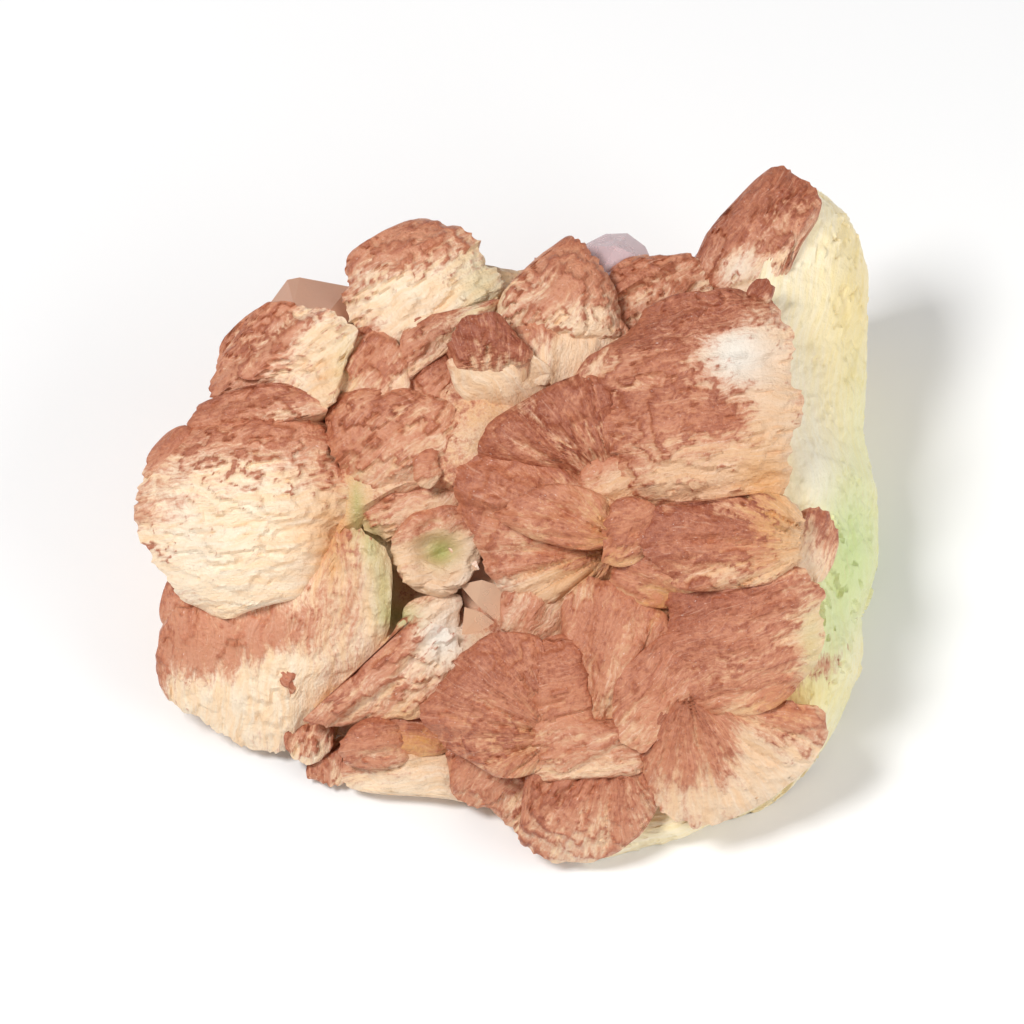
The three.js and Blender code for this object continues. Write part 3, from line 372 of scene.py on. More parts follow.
# Places where the finish of the face changes: [across, up], the reach across and up, and the
# amount that is added there. Bare takes dust away. The warm spots add tan, the
# ochre ones real stain and painted orange glow, and the pearl and wall white
# ones a painted pearly sheen.
SPOTS = {
    "bare": [
        (-55, -3, 17, 13, 0.55), (-45, -12, 12, 8, 0.35), (-22, 43, 10, 6, 0.6), (-7, 43, 5, 9, 0.5),
        (45, 49, 6, 5, 0.6), (44, 31, 8, 7, 0.9), (38, 6, 18, 6, 0.6), (-60, -40, 18, 7, 0.5),
        (58, -52, 14, 7, 0.5), (40, -58, 14, 5, 0.5), (14, 30, 10, 6, 0.6), (-2, 22, 8, 8, 0.5),
        (52, 20, 5, 22, 0.9), (56, -6, 4, 8, 0.6), (60, -24, 3, 10, 0.5), (5, -16, 12, 3, 0.4),
        (-14, -24, 6, 7, 0.6), (47, -46, 3, 8, 0.4), (-40, 22, 6, 3, 0.3), (42, -13, 12, 2, 0.5),
        (-38, 33, 5, 8, 0.35), (-13.5, -7.5, 6, 5, 0.6), (-20, -14, 14, 14, 0.25), (-58, -27, 16, 6, -0.4),
        (-40, -22, 10, 6, -0.25), (8, -14, 11, 3.5, 0.5), (2, -5, 5, 3, 0.25), (-46.5, -32, 5.5, 4.5, 0.8),
        (-54, 15, 16, 4.5, -0.3),
    ],
    "warm": [
        (10, -5, 34, 34, 0.75), (44, 20, 22, 30, 0.6), (30, -40, 30, 24, 0.6), (-22, 10, 14, 26, 0.5),
        (-20, -46, 16, 10, 0.3), (14, 34, 12, 12, 0.2),
    ],
    # Partly painted orange glow, where the crystal glows through in its crevices, and partly real stain.
    "ochre": [
        (-36, -6, 5, 14, 0.7), (50, 7, 6, 6, 0.5), (30, -18, 5, 4, 0.9), (54, -38, 7, 5, 0.8),
        (-19, -44, 10, 5, 0.8), (18, -6, 9, 8, 0.6), (50, -3, 7, 8, 0.6), (-37, 26, 4, 9, 0.4),
        (2, -46, 7, 8, 0.4), (-5, 22, 5, 5, 0.3),
    ],
    "green": [
        (-22, -21, 4, 2.5, 0.8), (-13.5, -7, 5, 4, 0.3), (-31, 1, 1.6, 6, 0.9), (-25.5, -15, 2.2, 8, 0.7),
        (-14.4, -8, 3, 2.6, 0.9), (-33, 30, 3, 6, 0.3), (-6, 45, 5, 10, 0.35), (-28, -6, 1.8, 5, 0.7),
        (59, -26, 3, 9, 0.5),
    ],
    # Painted pearly sheen: whitish spots standing for the crystal's lustre.
    "pearl": [
        (44, 31, 7, 6.5, 0.9), (-14, -25, 5, 5, 0.8), (45, 49, 5, 4, 0.4), (-6, -16, 6, 8, 0.5),
        (-62, -6, 6, 6, 0.3),
    ],
    "wall dust": [
        (62, -30, 4, 3.5, 1.0), (67, -27, 2.5, 2, 0.7), (55, -33, 5, 4, 0.6), (60, -52, 8, 4, 0.3),
    ],
    "wall yellow": [
        (64, 30, 12, 30, 0.45), (70, 45, 5, 16, 0.5), (58, -36, 8, 5, 0.9), (56, 6, 5, 8, 0.4),
        (30, -64, 20, 4, 0.2),
    ],
    "wall green": [
        (68, -8, 9, 15, 1.0), (62, -24, 7, 9, 0.5), (72, 18, 6, 16, 0.3), (66, -40, 8, 8, 0.25),
    ],
    # Painted pearly sheen on the broken wall.
    "wall white": [
        (60, 8, 5, 9, 0.6), (55, 24, 6, 12, 0.4), (57, 55, 6, 12, 0.3),
    ],
}


def chance(seed):
    """A repeatable number from 0 to 1 for a seed, or for each seed of an array."""
    x = np.sin(np.asarray(seed, float) * 127.1 + 11.7) * 43758.5453
    return x - np.floor(x)


def lattice(i, j, seed):
    """A repeatable number from 0 to 1 for each cell of a lattice."""
    x = np.sin(i * 127.1 + j * 311.7 + seed * 74.7 + 3.3) * 43758.5453
    return x - np.floor(x)


def eased(share):
    """A share from 0 to 1 with a soft start and end."""
    share = np.clip(share, 0, 1)
    return share * share * (3 - 2 * share)


def noise(x, y, seed):
    """Smooth noise from -1 to 1, with one bump to a unit."""
    i, j = np.floor(x), np.floor(y)
    a, b = eased(x - i), eased(y - j)
    low = lattice(i, j, seed) * (1 - a) + lattice(i + 1, j, seed) * a
    high = lattice(i, j + 1, seed) * (1 - a) + lattice(i + 1, j + 1, seed) * a
    return 2 * (low * (1 - b) + high * b) - 1


def layered(layers, x, y, seed=0):
    """The sum of layers of noise, each as high, as long and as wide as its row says."""
    return sum(high * noise(x / long, y / wide, seed + own) for high, long, wide, own in layers)


def axes_of(heading, rise):
    """The across, up and out axes of the frame that faces a heading and a rise."""
    turn, lift = math.radians(heading), math.radians(rise)
    across = np.array([math.cos(turn), math.sin(turn), 0])
    out = np.array([math.sin(turn) * math.cos(lift), -math.cos(turn) * math.cos(lift), math.sin(lift)])
    return np.array([across, np.cross(out, across), out])


def facing(heading, rise, middle):
    """Turns [across, up, out] in the frame that faces a heading and a rise into the part's frame."""
    axes = axes_of(heading, rise)
    return lambda points: np.asarray(points, float) @ axes + np.array(middle)


from_face = facing(0, FACE_RISE, FACE_MIDDLE)


def to_face(places):
    """Places in the part's frame as across, up and out of the crystal face."""
    return ((places - np.array(FACE_MIDDLE)) @ axes_of(0, FACE_RISE).T).T


def turned(x, y, degrees):
    """Places turned anticlockwise."""
    c, s = math.cos(math.radians(degrees)), math.sin(math.radians(degrees))
    return x * c - y * s, x * s + y * c


def rounded(rim):
    """An outline with its corners cut twice."""
    points = np.array(rim, float)
    for _ in range(2):
        after = np.roll(points, -1, axis=0)
        points = np.stack([points * 0.8 + after * 0.2, points * 0.2 + after * 0.8], 1).reshape(-1, 2)
    return points


def chords(outline, t):
    """Where the lines at t across the stack enter and leave an outline of [along, across] points."""
    start, stop = np.full(len(t), 1e9), np.full(len(t), -1e9)
    for (s0, t0), (s1, t1) in zip(outline, np.roll(outline, -1, axis=0)):
        hit = (t0 <= t) != (t1 <= t)
        cut = s0 + (s1 - s0) * (t - t0) / ((t1 - t0) or 1)
        start = np.where(hit, np.minimum(start, cut), start)
        stop = np.where(hit, np.maximum(stop, cut), stop)
    return start, stop


def terraced(height, step):
    """What cuts a surface into terraces, and how far along its own each place is, from 0 to 1."""
    share = height / step - np.floor(height / step)
    return step * (eased((share - BRINK) / (1 - BRINK)) - share), share


def scallops(x, y, seed):
    """How far each place is from the nearest of a scatter of points, one to a unit."""
    nearest = np.full(np.shape(x), 9.0)
    for di in (-1, 0, 1):
        for dj in (-1, 0, 1):
            i, j = np.floor(x) + di, np.floor(y) + dj
            apart = np.hypot(i + lattice(i, j, seed) - x, j + lattice(i, j, seed + 5) - y)
            nearest = np.minimum(nearest, apart)
    return nearest


def plates(s, t, pitch, length, seed):
    """Thin plates laid like bricks: a lift from -0.5 to 0.5 for each, with wandering edges."""
    wander = 0.5 * noise(s / 8, t / (3 * pitch), seed) + 0.22 * noise(s / 1.4, t / pitch, seed + 3)
    row = np.floor(t / pitch + wander)
    shift = chance(row * 1.7 + seed) * 9
    column = np.floor(s / length + shift + 0.4 * noise(s / 2.2, t / 1.1, seed + 5))
    return lattice(row, column, seed) - 0.5


def blurred(grid, reach):
    """A grid of heights with each averaged over its neighbours."""
    for axis in (0, 1):
        pad = [(reach, reach) if k == axis else (0, 0) for k in (0, 1)]
        wide = np.pad(grid, pad, mode="edge")
        size = grid.shape[axis]
        grid = sum(np.take(wide, range(k, k + size), axis) for k in range(2 * reach + 1)) / (2 * reach + 1)
    return grid


def spot(kind, u, v):
    """How much of a kind of finish its spots add at each place of the face."""
    total = np.zeros(np.shape(u))
    for u0, v0, across, up, amount in SPOTS[kind]:
        total += amount * np.exp(-(((u - u0) / across) ** 2 + ((v - v0) / up) ** 2))
    return total


def grid_block(name, columns, rows, rings):
    """A flat grid from -1 to 1, its edge drawn down to -1 in rings and closed below."""
    bpy.ops.mesh.primitive_grid_add(x_subdivisions=columns, y_subdivisions=rows, size=2)
    piece = bpy.context.object
    piece.name = piece.data.name = name
    bpy.ops.object.mode_set(mode="EDIT")
    bpy.ops.mesh.select_mode(type="EDGE")
    bpy.ops.mesh.select_all(action="DESELECT")
    bpy.ops.mesh.select_non_manifold()
    bpy.ops.mesh.extrude_edges_move(TRANSFORM_OT_translate={"value": (0, 0, -1)})
    bpy.ops.mesh.edge_face_add()
    bpy.ops.mesh.select_all(action="DESELECT")
    mesh = bmesh.from_edit_mesh(piece.data)
    for edge in mesh.edges:
        edge.select_set(abs(edge.verts[0].co.z - edge.verts[1].co.z) > 0.5)
    bmesh.update_edit_mesh(piece.data)
    bpy.ops.mesh.subdivide(number_cuts=rings - 1)
    bpy.ops.mesh.select_all(action="SELECT")
    bpy.ops.mesh.normals_make_consistent(inside=False)
    bpy.ops.object.mode_set(mode="OBJECT")
    return piece


def corners(piece):
    """The places of a mesh's corners as an array."""
    flat = np.empty(len(piece.data.vertices) * 3)
    piece.data.vertices.foreach_get("co", flat)
    return flat.reshape(-1, 3)


def grid_places(piece):
    """A block's columns and rows, each corner's own among them, and how far down it is."""
    x, y, z = corners(piece).T
    columns, i = np.unique(np.round(x, 4), return_inverse=True)
    rows, j = np.unique(np.round(y, 4), return_inverse=True)
    return columns, rows, (j, i), -z


def shape(piece, places):
    """Moves a mesh's corners to places in millimetres, cut off flat at the surface it rests on."""
    low, high = (np.array(end) / MM for end in cad_box)
    places = np.clip(places, low, high)
    piece.data.vertices.foreach_set("co", (places * MM).ravel())
    piece.data.update()


def paint(piece, **values):
    """Named values at a mesh's corners, which its material reads. A lone number goes to all."""
    for name, value in values.items():
        value = np.ascontiguousarray(value, np.float32)
        if value.size == 1:
            value = np.full(len(piece.data.vertices), value.item(), np.float32)
        kind, field = ("FLOAT_VECTOR", "vector") if value.ndim == 2 else ("FLOAT", "value")
        piece.data.attributes.new(name, kind, "POINT").data.foreach_set(field, value.ravel())


def dress(piece, material, slot, *nodes):
    """Finishes a piece: its shading, its material, and what it rides on and stands for."""
    bpy.ops.object.select_all(action="DESELECT")
    piece.select_set(True)
    bpy.context.view_layer.objects.active = piece
    bpy.ops.object.shade_smooth_by_angle(angle=math.radians(40))
    piece.data.materials.clear()
    piece.data.materials.append(material)
    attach(piece, "root")
    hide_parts(*nodes)
    piece.select_set(False)


def cap_plan(s, outline, columns, rows, seed):
    """A cap's grid in plan: shares X and Y, places S and T by its streak, and places A and B."""
    low, high = outline[:, 1].min(), outline[:, 1].max()
    even = np.clip(0.5 * rows + 0.5 * np.sin(rows * math.pi / 2), -0.985, 0.985)
    t = low + (high - low) * (even + 1) / 2
    start, stop = chords(outline, t)
    blade = np.clip(np.floor((even + 1) / 2 * s["blades"]), 0, s["blades"] - 1)
    reach = 1 + RAGGED * (chance(seed + blade * 5.3 + 40) - 0.5)
    X, Y = np.meshgrid(columns, even)
    T = np.repeat(t[:, None], len(columns), 1)
    half = ((stop - start) / 2 * reach)[:, None]
    ends = layered(RIM_ENDS, T, np.sign(X) * 9.0, seed)
    S = ((start + stop) / 2)[:, None] + half * X + ends * np.sign(X) * np.abs(X) ** 6
    A, B = turned(S, T, s["streak"])
    return SimpleNamespace(X=X, Y=Y, S=S, T=T, A=A, B=B, edge=np.maximum(np.abs(X), np.abs(Y)))


def blade_run(s, cap, middle):
    """How far each place of a cap is along and across its blades, or round the root of a fan."""
    if not s["fan"]:
        return cap.S, cap.T
    u, v = s["fan"]
    away = middle - s["fan"]
    turn = np.arctan2(cap.B - v, cap.A - u) - math.atan2(away[1], away[0])
    turn = (turn + math.pi) % (2 * math.pi) - math.pi
    return np.hypot(cap.A - u, cap.B - v), turn * math.hypot(*away)


def cap_relief(s, cap, along, across, middle, crisp, seed):
    """How far out a cap's places are, how high they stand over it, and its raised ledge lines."""
    border = (cap.Y + 1) / 2 * s["blades"] + layered(SEAM, cap.S, cap.T, seed)
    big = np.clip(np.floor(border), 0, s["blades"] - 1)
    over = eased((border - big - 0.65) / 0.35)
    lift = chance(seed + big * 3.7) * (1 - over) + chance(seed + (big + 1) * 3.7) * over
    lift = (lift - 0.5) * 2 * s["ledge"]
    tilt = (cap.A - middle[0]) * s["lean"][0] + (cap.B - middle[1]) * s["lean"][1]
    swell = layered(SWELL, along, across, seed)
    lobes = scallops(along / 7, across / 2.4, seed + 13)
    lobes = lobes + 0.5 * scallops(along / 2.8, across / 1.1, seed + 14)
    ragged = 0.85 * (0.65 - lobes) + layered(CRUMB, along, across, seed)
    fall = s["dome"] * np.sqrt(cap.X**4 + cap.Y**4)
    smooth = swell + 0.09 * across + 0.4 * tilt - 0.35 * fall
    bold, brink = terraced(smooth + ragged, BIG_STEP)
    fine, lip = terraced(smooth * 0.8 + ragged * 1.3 + 7, FINE_STEP)
    pleats = layered(FAN_PLEAT if s["fan"] else PLEAT, along, across, seed)
    if s["fan"]:
        ribs = np.sin(across / RIB_WIDTH + layered(RIB_WANDER, along, across, seed))
        pleats = pleats + 0.9 * np.sqrt(np.abs(ribs))
    crisp = np.clip(crisp * (1 + layered(CRISPNESS, along, across, seed)), 0, 1)
    height = lift - fall + 0.7 * swell + 0.45 * ragged + pleats - 0.3 * cap.edge**14
    height = height + crisp * (0.85 * bold + 0.4 * fine)
    out = s["out"] + tilt + height
    if s["dimple"]:
        u, v, wide, deep = s["dimple"]
        uneven = 1 + layered(UNEVEN_HOLLOW, cap.A, cap.B, seed)
        out = out - deep * np.exp(-((cap.A - u) ** 2 + (cap.B - v) ** 2) / wide**2 * uneven)
    raised = np.exp(-brink / 0.16) + np.clip(brink * 5 - 4, 0, 1) + 0.5 * np.exp(-lip / 0.25) - 0.3
    return out, height, raised * crisp


def sheaf_piece(name, sheaf, seed, place, on_face):
    """One sheaf: a stack of blades from the root to a stepped cap."""
    s = {**USUAL, **sheaf}
    dust, dark, ochre, crisp, gather = s["finish"]
    rim = rounded(s["rim"])
    rim = rim.mean(axis=0) + (rim - rim.mean(axis=0)) * OVERLAP
    outline = np.stack(turned(rim[:, 0], rim[:, 1], -s["streak"]), 1)
    length, width = np.ptp(outline, axis=0)
    middle = np.mean(s["rim"], axis=0)
    depth = (1 - s["waist"]) * np.linalg.norm(np.array([*middle, s["out"]]) - s["root"])
    piece = grid_block(
        name,
        max(12, round(length / CAP_GRAIN)),
        max(12, round(width / CAP_GRAIN)),
        max(4, round(depth / SIDE_GRAIN)),
    )
    columns, rows, at, down = grid_places(piece)
    plan = cap_plan(s, outline, columns, rows, seed)
    along, across = blade_run(s, plan, middle)
    out, height, raised = cap_relief(s, plan, along, across, middle, crisp, seed)

    # The whole sheaf, down its sides from the rim.
    cap = np.stack([plan.A[at], plan.B[at], out[at]], 1)
    grown = s["waist"] + (1 - s["waist"]) * (1 - down)
    flute = layered(FLUTE, plan.S[at], plan.T[at], seed)
    spread = grown * (1 + 0.022 * flute * np.minimum(down * 4, 1) * (1 - down))
    shape(piece, place(s["root"] + (cap - s["root"]) * np.stack([spread, spread, grown], 1)))

    gathers = (cap[:, :2] - middle) @ np.array(turned(1, 0, gather))
    upper = np.clip(gathers / np.abs(gathers).max(), -1, 1)
    u, v = (cap[:, 0], cap[:, 1]) if on_face else (cap[:, 0] * 0 + OFF_THE_FACE, cap[:, 1])
    low_down = down * depth
    stepped = np.clip((height - blurred(height, 5)) / 0.7, -1, 1)
    cover = dust - 0.05 + 0.15 * stepped[at] + 0.14 * (plan.edge[at] ** 5 - 0.2) + 0.42 * upper
    cover = cover + layered(DUST_CLOUD, along[at], across[at], seed) - spot("bare", u, v)
    cover = cover - np.clip(low_down / 9, 0, 0.7) - 0.6 * spot("green", u, v)
    wander = layered(FIBRE_WANDER, plan.A, plan.B, seed) * (0.35 if s["fan"] else 1)
    paint(
        piece,
        blade=np.stack([along[at], (across + wander)[at], low_down], 1),
        side=np.minimum(down * 40, 1),
        dust=cover,
        line=raised[at],
        dark=dark - 0.1 + layered(DARK_CLOUD, along[at], across[at], seed) + 0.3 * upper,
        # Painted glow: the warm share grows down each side toward the root, where sheaves meet in
        # crevices; its spots add tan by place.
        warm=(spot("warm", u, v) if on_face else 0.4) + np.clip(low_down / 20, 0, 0.5),
        # Partly painted glow: the ochre share grows down each side toward the root and at its spots,
        # besides the crystal's real stain.
        ochre=ochre * (0.4 - 0.25 * upper) + spot("ochre", u, v) + np.clip(low_down / 30, 0, 0.4),
        green=spot("green", u, v),
        # Painted pearly sheen at its spots.
        pearl=spot("pearl", u, v),
    )
    dress(piece, STILBITE, "stilbite", "stilbite_cluster")


def oval_rim(across, up, wide, deep):
    """The outline of a side sheaf, an oval of eight points."""
    turns = (np.arange(8) + 0.5) * math.pi / 4
    return [(across + wide * math.cos(a), up + deep * math.sin(a)) for a in turns]


def heart_piece(name, at, radii, place):
    """A lump of the mass under the sheaves, broken and uneven, with the pocket pressed into it."""
    bpy.ops.mesh.primitive_ico_sphere_add(subdivisions=6, radius=1)
    piece = bpy.context.object
    piece.name = piece.data.name = name
    unit = corners(piece)
    x, y, z = unit.T
    rough = 0.02 * noise(x * 5 + z * 2, y * 5 - z, 31) + 0.012 * noise(x * 14 - z * 6, y * 14 + z * 7, 32)
    across, up = x * radii[0], y * radii[1]
    chips = plates(across, up, 3.5, 5, 35) * 0.03 + plates(up + across, up - across, 2, 3, 36) * 0.02
    local = np.array(at) + unit * radii * (1 + rough + chips)[:, None]
    seen = to_face(place(local)).T
    hole = (seen - HOLLOW["at"]) / HOLLOW["radii"]
    flat = np.clip(1 - hole[:, 0] ** 2 - hole[:, 1] ** 2, 0, 1)
    floor = HOLLOW["at"][2] - HOLLOW["radii"][2] * np.sqrt(flat)
    seen[:, 2] = np.where(flat > 0, np.minimum(seen[:, 2], floor), seen[:, 2])
    shape(piece, from_face(seen))
    u, v = seen[:, 0], seen[:, 1]
    cloud = layered([(0.3, 7, 7, 34)], local[:, 0], local[:, 1])
    paint(
        piece,
        blade=local,
        side=1,
        dust=0.5 + cloud - spot("bare", u, v) - spot("green", u, v),
        line=layered([(0.6, 2, 1.2, 37)], local[:, 0], local[:, 1]),
        dark=0.4,
        warm=0.5,
        # Partly painted orange glow at the ochre spots.
        ochre=0.3 + spot("ochre", u, v),
        green=spot("green", u, v),
        # Painted pearly sheen at its spots.
        pearl=spot("pearl", u, v),
    )
    dress(piece, STILBITE, "stilbite", "stilbite_cluster")


def smooth_row(points, share):
    """Points along a smooth curve through a list of points, at shares from 0 to 1."""
    points = np.asarray(points, float)
    at = np.clip(np.asarray(share) * (len(points) - 1), 0, len(points) - 1 - 1e-9)
    k = np.floor(at).astype(int)
    f = (at - k).reshape(-1, *[1] * (points.ndim - 1))
    p0, p1 = points[np.maximum(k - 1, 0)], points[k]
    p2, p3 = points[k + 1], points[np.minimum(k + 2, len(points) - 1)]
    return p1 + 0.5 * f * (p2 - p0 + f * (2 * p0 - 5 * p1 + 4 * p2 - p3 + f * (3 * (p1 - p2) + p3 - p0)))


def wall_row(crest, rim, i):
    """The points of the broken wall at a station, from the crest over the rim to the foot."""
    top, edge = from_face([crest, rim])
    away = np.array([edge[0], edge[1], 0]) / math.hypot(edge[0], edge[1])
    row = [top]
    for k, share in enumerate((0.33, 0.67)):
        bulge = WALL_SWELL * math.sin(share * math.pi) + WALL_ROUGH * (chance(i * 3.1 + k * 7.7) - 0.5)
        row.append(top + (edge - top) * share + away * bulge * 0.6 + np.array([0, 0, bulge * 0.8]))
    row.append(edge)
    for k, share in enumerate((0.3, 0.65, 1)):
        dent = WALL_ROUGH * (chance(i * 5.9 + k * 3.3 + 9) - 0.5) + share * WALL_UNDERCUT
        point = edge - away * dent
        point[2] = edge[2] + (min(WALL_FOOT, edge[2] - 1) - edge[2]) * share
        row.append(point)
    return row


def wall_piece():
    """The broken wall at the right: a cleaved, glassy skin over the mass."""
    piece = grid_block("broken_wall", *WALL_GRID)
    columns, rows, at, down = grid_places(piece)
    stations = np.array([
        wall_row(np.array(crest) + WALL_OVERLAP, rim, i) for i, (crest, rim) in enumerate(WALL)
    ])
    net = smooth_row(stations, (columns + 1) / 2)
    skin = np.stack([smooth_row(column, (1 - rows) / 2) for column in net], 1)
    run = np.linalg.norm(np.diff(skin, axis=1, prepend=skin[:, :1]), axis=2).cumsum(1)
    drop = np.linalg.norm(np.diff(skin[::-1], axis=0, prepend=skin[-1:]), axis=2).cumsum(0)[::-1]
    normal = np.cross(np.gradient(skin, axis=1), np.gradient(skin, axis=0))
    normal /= np.linalg.norm(normal, axis=2, keepdims=True) + 1e-9
    chips = 0
    for turn, pitch, length, high, seed in WALL_CHIPS:
        along = run * math.cos(turn) + drop * math.sin(turn)
        across = drop * math.cos(turn) - run * math.sin(turn)
        chips = chips + high * plates(along, across, pitch, length, seed)
    chips = chips + layered(WALL_UNEVEN, run, drop)
    skin = skin + normal * chips[:, :, None]
    inside = np.mean(from_face(WALL_INSIDE), axis=0)
    places = skin[at] + (inside - skin[at]) * (down * 0.7)[:, None]
    shape(piece, places)
    u, v, _ = to_face(places)
    raised = (chips - blurred(chips, 3))[at]
    cloud = layered([(0.3, 4, 4, 57)], u, v)
    paint(
        piece,
        blade=np.stack([run[at], drop[at], down * 10], 1),
        side=0,
        dust=-0.3 + cloud + spot("wall dust", u, v) - 0.5 * spot("wall green", u, v),
        line=np.clip(raised * 1.5, -0.5, 0.5),
        dark=0.5,
        warm=0,
        ochre=spot("wall yellow", u, v) + 0.3 * np.clip(raised, 0, 1),
        green=spot("wall green", u, v),
        # Painted pearly sheen at the pearl and wall white spots.
        pearl=spot("pearl", u, v) + spot("wall white", u, v),
    )
    dress(piece, BROKEN, "stilbite", "stilbite_cluster")


def tone(red, green, blue):
    """A colour given as on a screen, from 0 to 255, as the shader takes it."""
    shares = [part / 255 for part in (red, green, blue)]
    return (*(c / 12.92 if c <= 0.04 else ((c + 0.055) / 1.055) ** 2.4 for c in shares), 1)


def add(tree, kind, settings=None, sockets=None):
    """A shader node with its settings, whose sockets take a value or another node's output."""
    node = tree.nodes.new("ShaderNode" + kind)
    for name, value in (settings or {}).items():
        setattr(node, name, value)
    for name, value in (sockets or {}).items():
        if isinstance(value, bpy.types.NodeSocket):
            tree.links.new(value, node.inputs[name])
        else:
            node.inputs[name].default_value = value
    return node


def maths(tree, operation, a, b=0.0, clamp=False):
    return add(tree, "Math", {"operation": operation, "use_clamp": clamp}, {0: a, 1: b}).outputs[0]


def total_of(tree, *terms, start=0.0, clamp=False):
    """A start and some values added up, each taken as many times as it says."""
    total = start
    for k, (value, times) in enumerate(terms):
        part = maths(tree, "MULTIPLY", value, times)
        total = maths(tree, "ADD", part, total, clamp and k == len(terms) - 1)
    return total


def times(tree, a, b):
    """One value taken as many times as another says, and kept from 0 to 1."""
    return maths(tree, "MULTIPLY", a, b, clamp=True)


def blend(tree, share, a, b):
    """One colour mixed into another by a share."""
    return add(tree, "Mix", {"data_type": "RGBA"}, {0: share, 6: a, 7: b}).outputs[2]


def between(tree, value, low, high):
    """0 where a value is low, 1 where it is high, and a smooth step between them."""
    settings = {"interpolation_type": "SMOOTHSTEP"}
    return add(tree, "MapRange", settings, {0: value, 1: low, 2: high}).outputs[0]


def grain(tree, vector, stretch, scale, detail=4, rough=0.6):
    """Noise from 0 to 1, stretched along the blades."""
    stretched = add(tree, "VectorMath", {"operation": "MULTIPLY"}, {0: vector, 1: stretch}).outputs[0]
    sockets = {"Vector": stretched, "Scale": scale, "Detail": detail, "Roughness": rough}
    return add(tree, "TexNoise", None, sockets).outputs[0]


def group_tree(name, inputs, outputs):
    """An empty shader group with the named sockets of each kind, and its ends."""
    tree = bpy.data.node_groups.new(name, "ShaderNodeTree")
    for side, kinds in (("INPUT", inputs), ("OUTPUT", outputs)):
        for kind, names in kinds.items():
            for socket in names.split():
                tree.interface.new_socket(socket, in_out=side, socket_type="NodeSocket" + kind)
    start, end = tree.nodes.new("NodeGroupInput"), tree.nodes.new("NodeGroupOutput")
    return tree, start.outputs, end.inputs


def blade_grain_group():
    """The run of the blades: long streaks, short flakes and fine fibres on caps and sides."""
    tree, given, result = group_tree(
        "blade_grain", {"Vector": "Blade", "Float": "Side"}, {"Float": "Streak Flake Fibre Spark"})
    for name, cap, side, scale in (
        ("Streak", (0.16, 0.85, 0.3), (0.7, 0.7, 0.09), 0.8),
        ("Flake", (0.6, 1.3, 1.0), (1.2, 1.2, 0.35), 1.1),
        ("Fibre", (0.1, 1.9, 1.0), (1.9, 1.9, 0.08), 1.3),
        ("Spark", (0.8, 2.3, 1.0), (2.4, 2.4, 0.4), 1.5),
    ):
        stretch = add(tree, "Mix", {"data_type": "VECTOR"}, {0: given["Side"], 4: cap, 5: side}).outputs[1]
        tree.links.new(grain(tree, given["Blade"], stretch, scale), result[name])
    return tree


def crystal_body_group():
    """The crystal under the dust: cream or tan with painted glow, stained yellow or green, with painted
    pearly sheen.
    """
    tree, given, result = group_tree(
        "crystal_body",
        {"Float": "Tan Ochre Green Pearl Streak Fibre", "Color": "Pale Warm Stain Moss"},
        {"Color": "Color"},
    )
    warmth = between(tree, given["Streak"], 0.35, 0.65)
    color = blend(tree, warmth, given["Warm"], given["Pale"])
    # The tan share is partly painted amber glow, deepest down the sheaves' sides.
    color = blend(tree, times(tree, given["Tan"], 0.9), color, tone(222, 172, 132))
    thread = between(tree, given["Fibre"], 0.5, 0.75)
    color = blend(tree, times(tree, thread, 0.35), color, tone(255, 244, 226))
    # This stain colour also serves as painted orange glow in the crevices.
    color = blend(tree, times(tree, given["Ochre"], 0.85), color, given["Stain"])
    color = blend(tree, times(tree, given["Green"], 0.85), color, given["Moss"])
    # Painted pearly sheen: the crystal turns near white at its spots.
    color = blend(tree, times(tree, given["Pearl"], 0.9), color, tone(240, 236, 226))
    tree.links.new(color, result["Color"])
    return tree


def salmon_dust_group():
    """The salmon dust that sits in broken streaks on the ledges, and painted pink glints on it."""
    tree, given, result = group_tree(
        "salmon_dust",
        {"Float": "Dust Line Dark Streak Flake Fibre Spark", "Color": "Base Light Deep"},
        {"Color": "Color", "Float": "Cover Glint Grit"},
    )
    place = add(tree, "TexCoord").outputs["Object"]
    grit = maths(tree, "SUBTRACT", grain(tree, place, (1, 1, 1), 1300.0, 3, 0.65), 0.5)
    broken = total_of(tree, (given["Streak"], 1.1), (given["Flake"], 1.1), start=-1.1)
    total = total_of(tree, (given["Dust"], 1.0), (broken, 1.0), (grit, 0.35))
    veil = between(tree, total, 0.1, 0.75)
    crust = total_of(tree, (total, 0.6), (given["Line"], 0.85), (given["Dark"], 0.4))
    thread = between(tree, given["Fibre"], 0.55, 0.75)
    cover = times(tree, between(tree, crust, 0.42, 0.92), total_of(tree, (thread, -0.35), start=1.0))
    depth = total_of(
        tree, (given["Flake"], 1.2), (grit, 1.2), (given["Dark"], 0.7), (given["Line"], 0.3),
        start=-0.6, clamp=True,
    )
    worn = total_of(tree, (between(tree, total, -0.4, 0.7), 0.65), start=0.35)
    salmon = blend(tree, times(tree, depth, worn), given["Light"], given["Deep"])
    color = blend(tree, times(tree, veil, 0.88), given["Base"], given["Light"])
    color = blend(tree, times(tree, cover, 0.92), color, salmon)
    # Painted sheen on the fibre ridges and painted shade in the grooves between them, from the same fibre
    # noise that raises the bump.
    painted_fibre_sheen = times(tree, between(tree, given["Fibre"], 0.56, 0.7), 0.2)
    color = blend(tree, painted_fibre_sheen, color, tone(248, 208, 182))
    painted_fibre_shade = total_of(tree, (given["Fibre"], -1.0), start=1.0)
    painted_fibre_shade = times(tree, between(tree, painted_fibre_shade, 0.55, 0.7), times(tree, veil, 0.28))
    color = blend(tree, painted_fibre_shade, color, given["Deep"])
    # Painted glints: pale pink flecks where the spark noise peaks, also a little glossier there.
    glint = between(tree, given["Spark"], 0.645, 0.71)
    color = blend(tree, times(tree, glint, 0.65), color, tone(255, 230, 218))
    for name, value in (("Color", color), ("Cover", cover), ("Glint", glint), ("Grit", grit)):
        tree.links.new(value, result[name])
    return tree


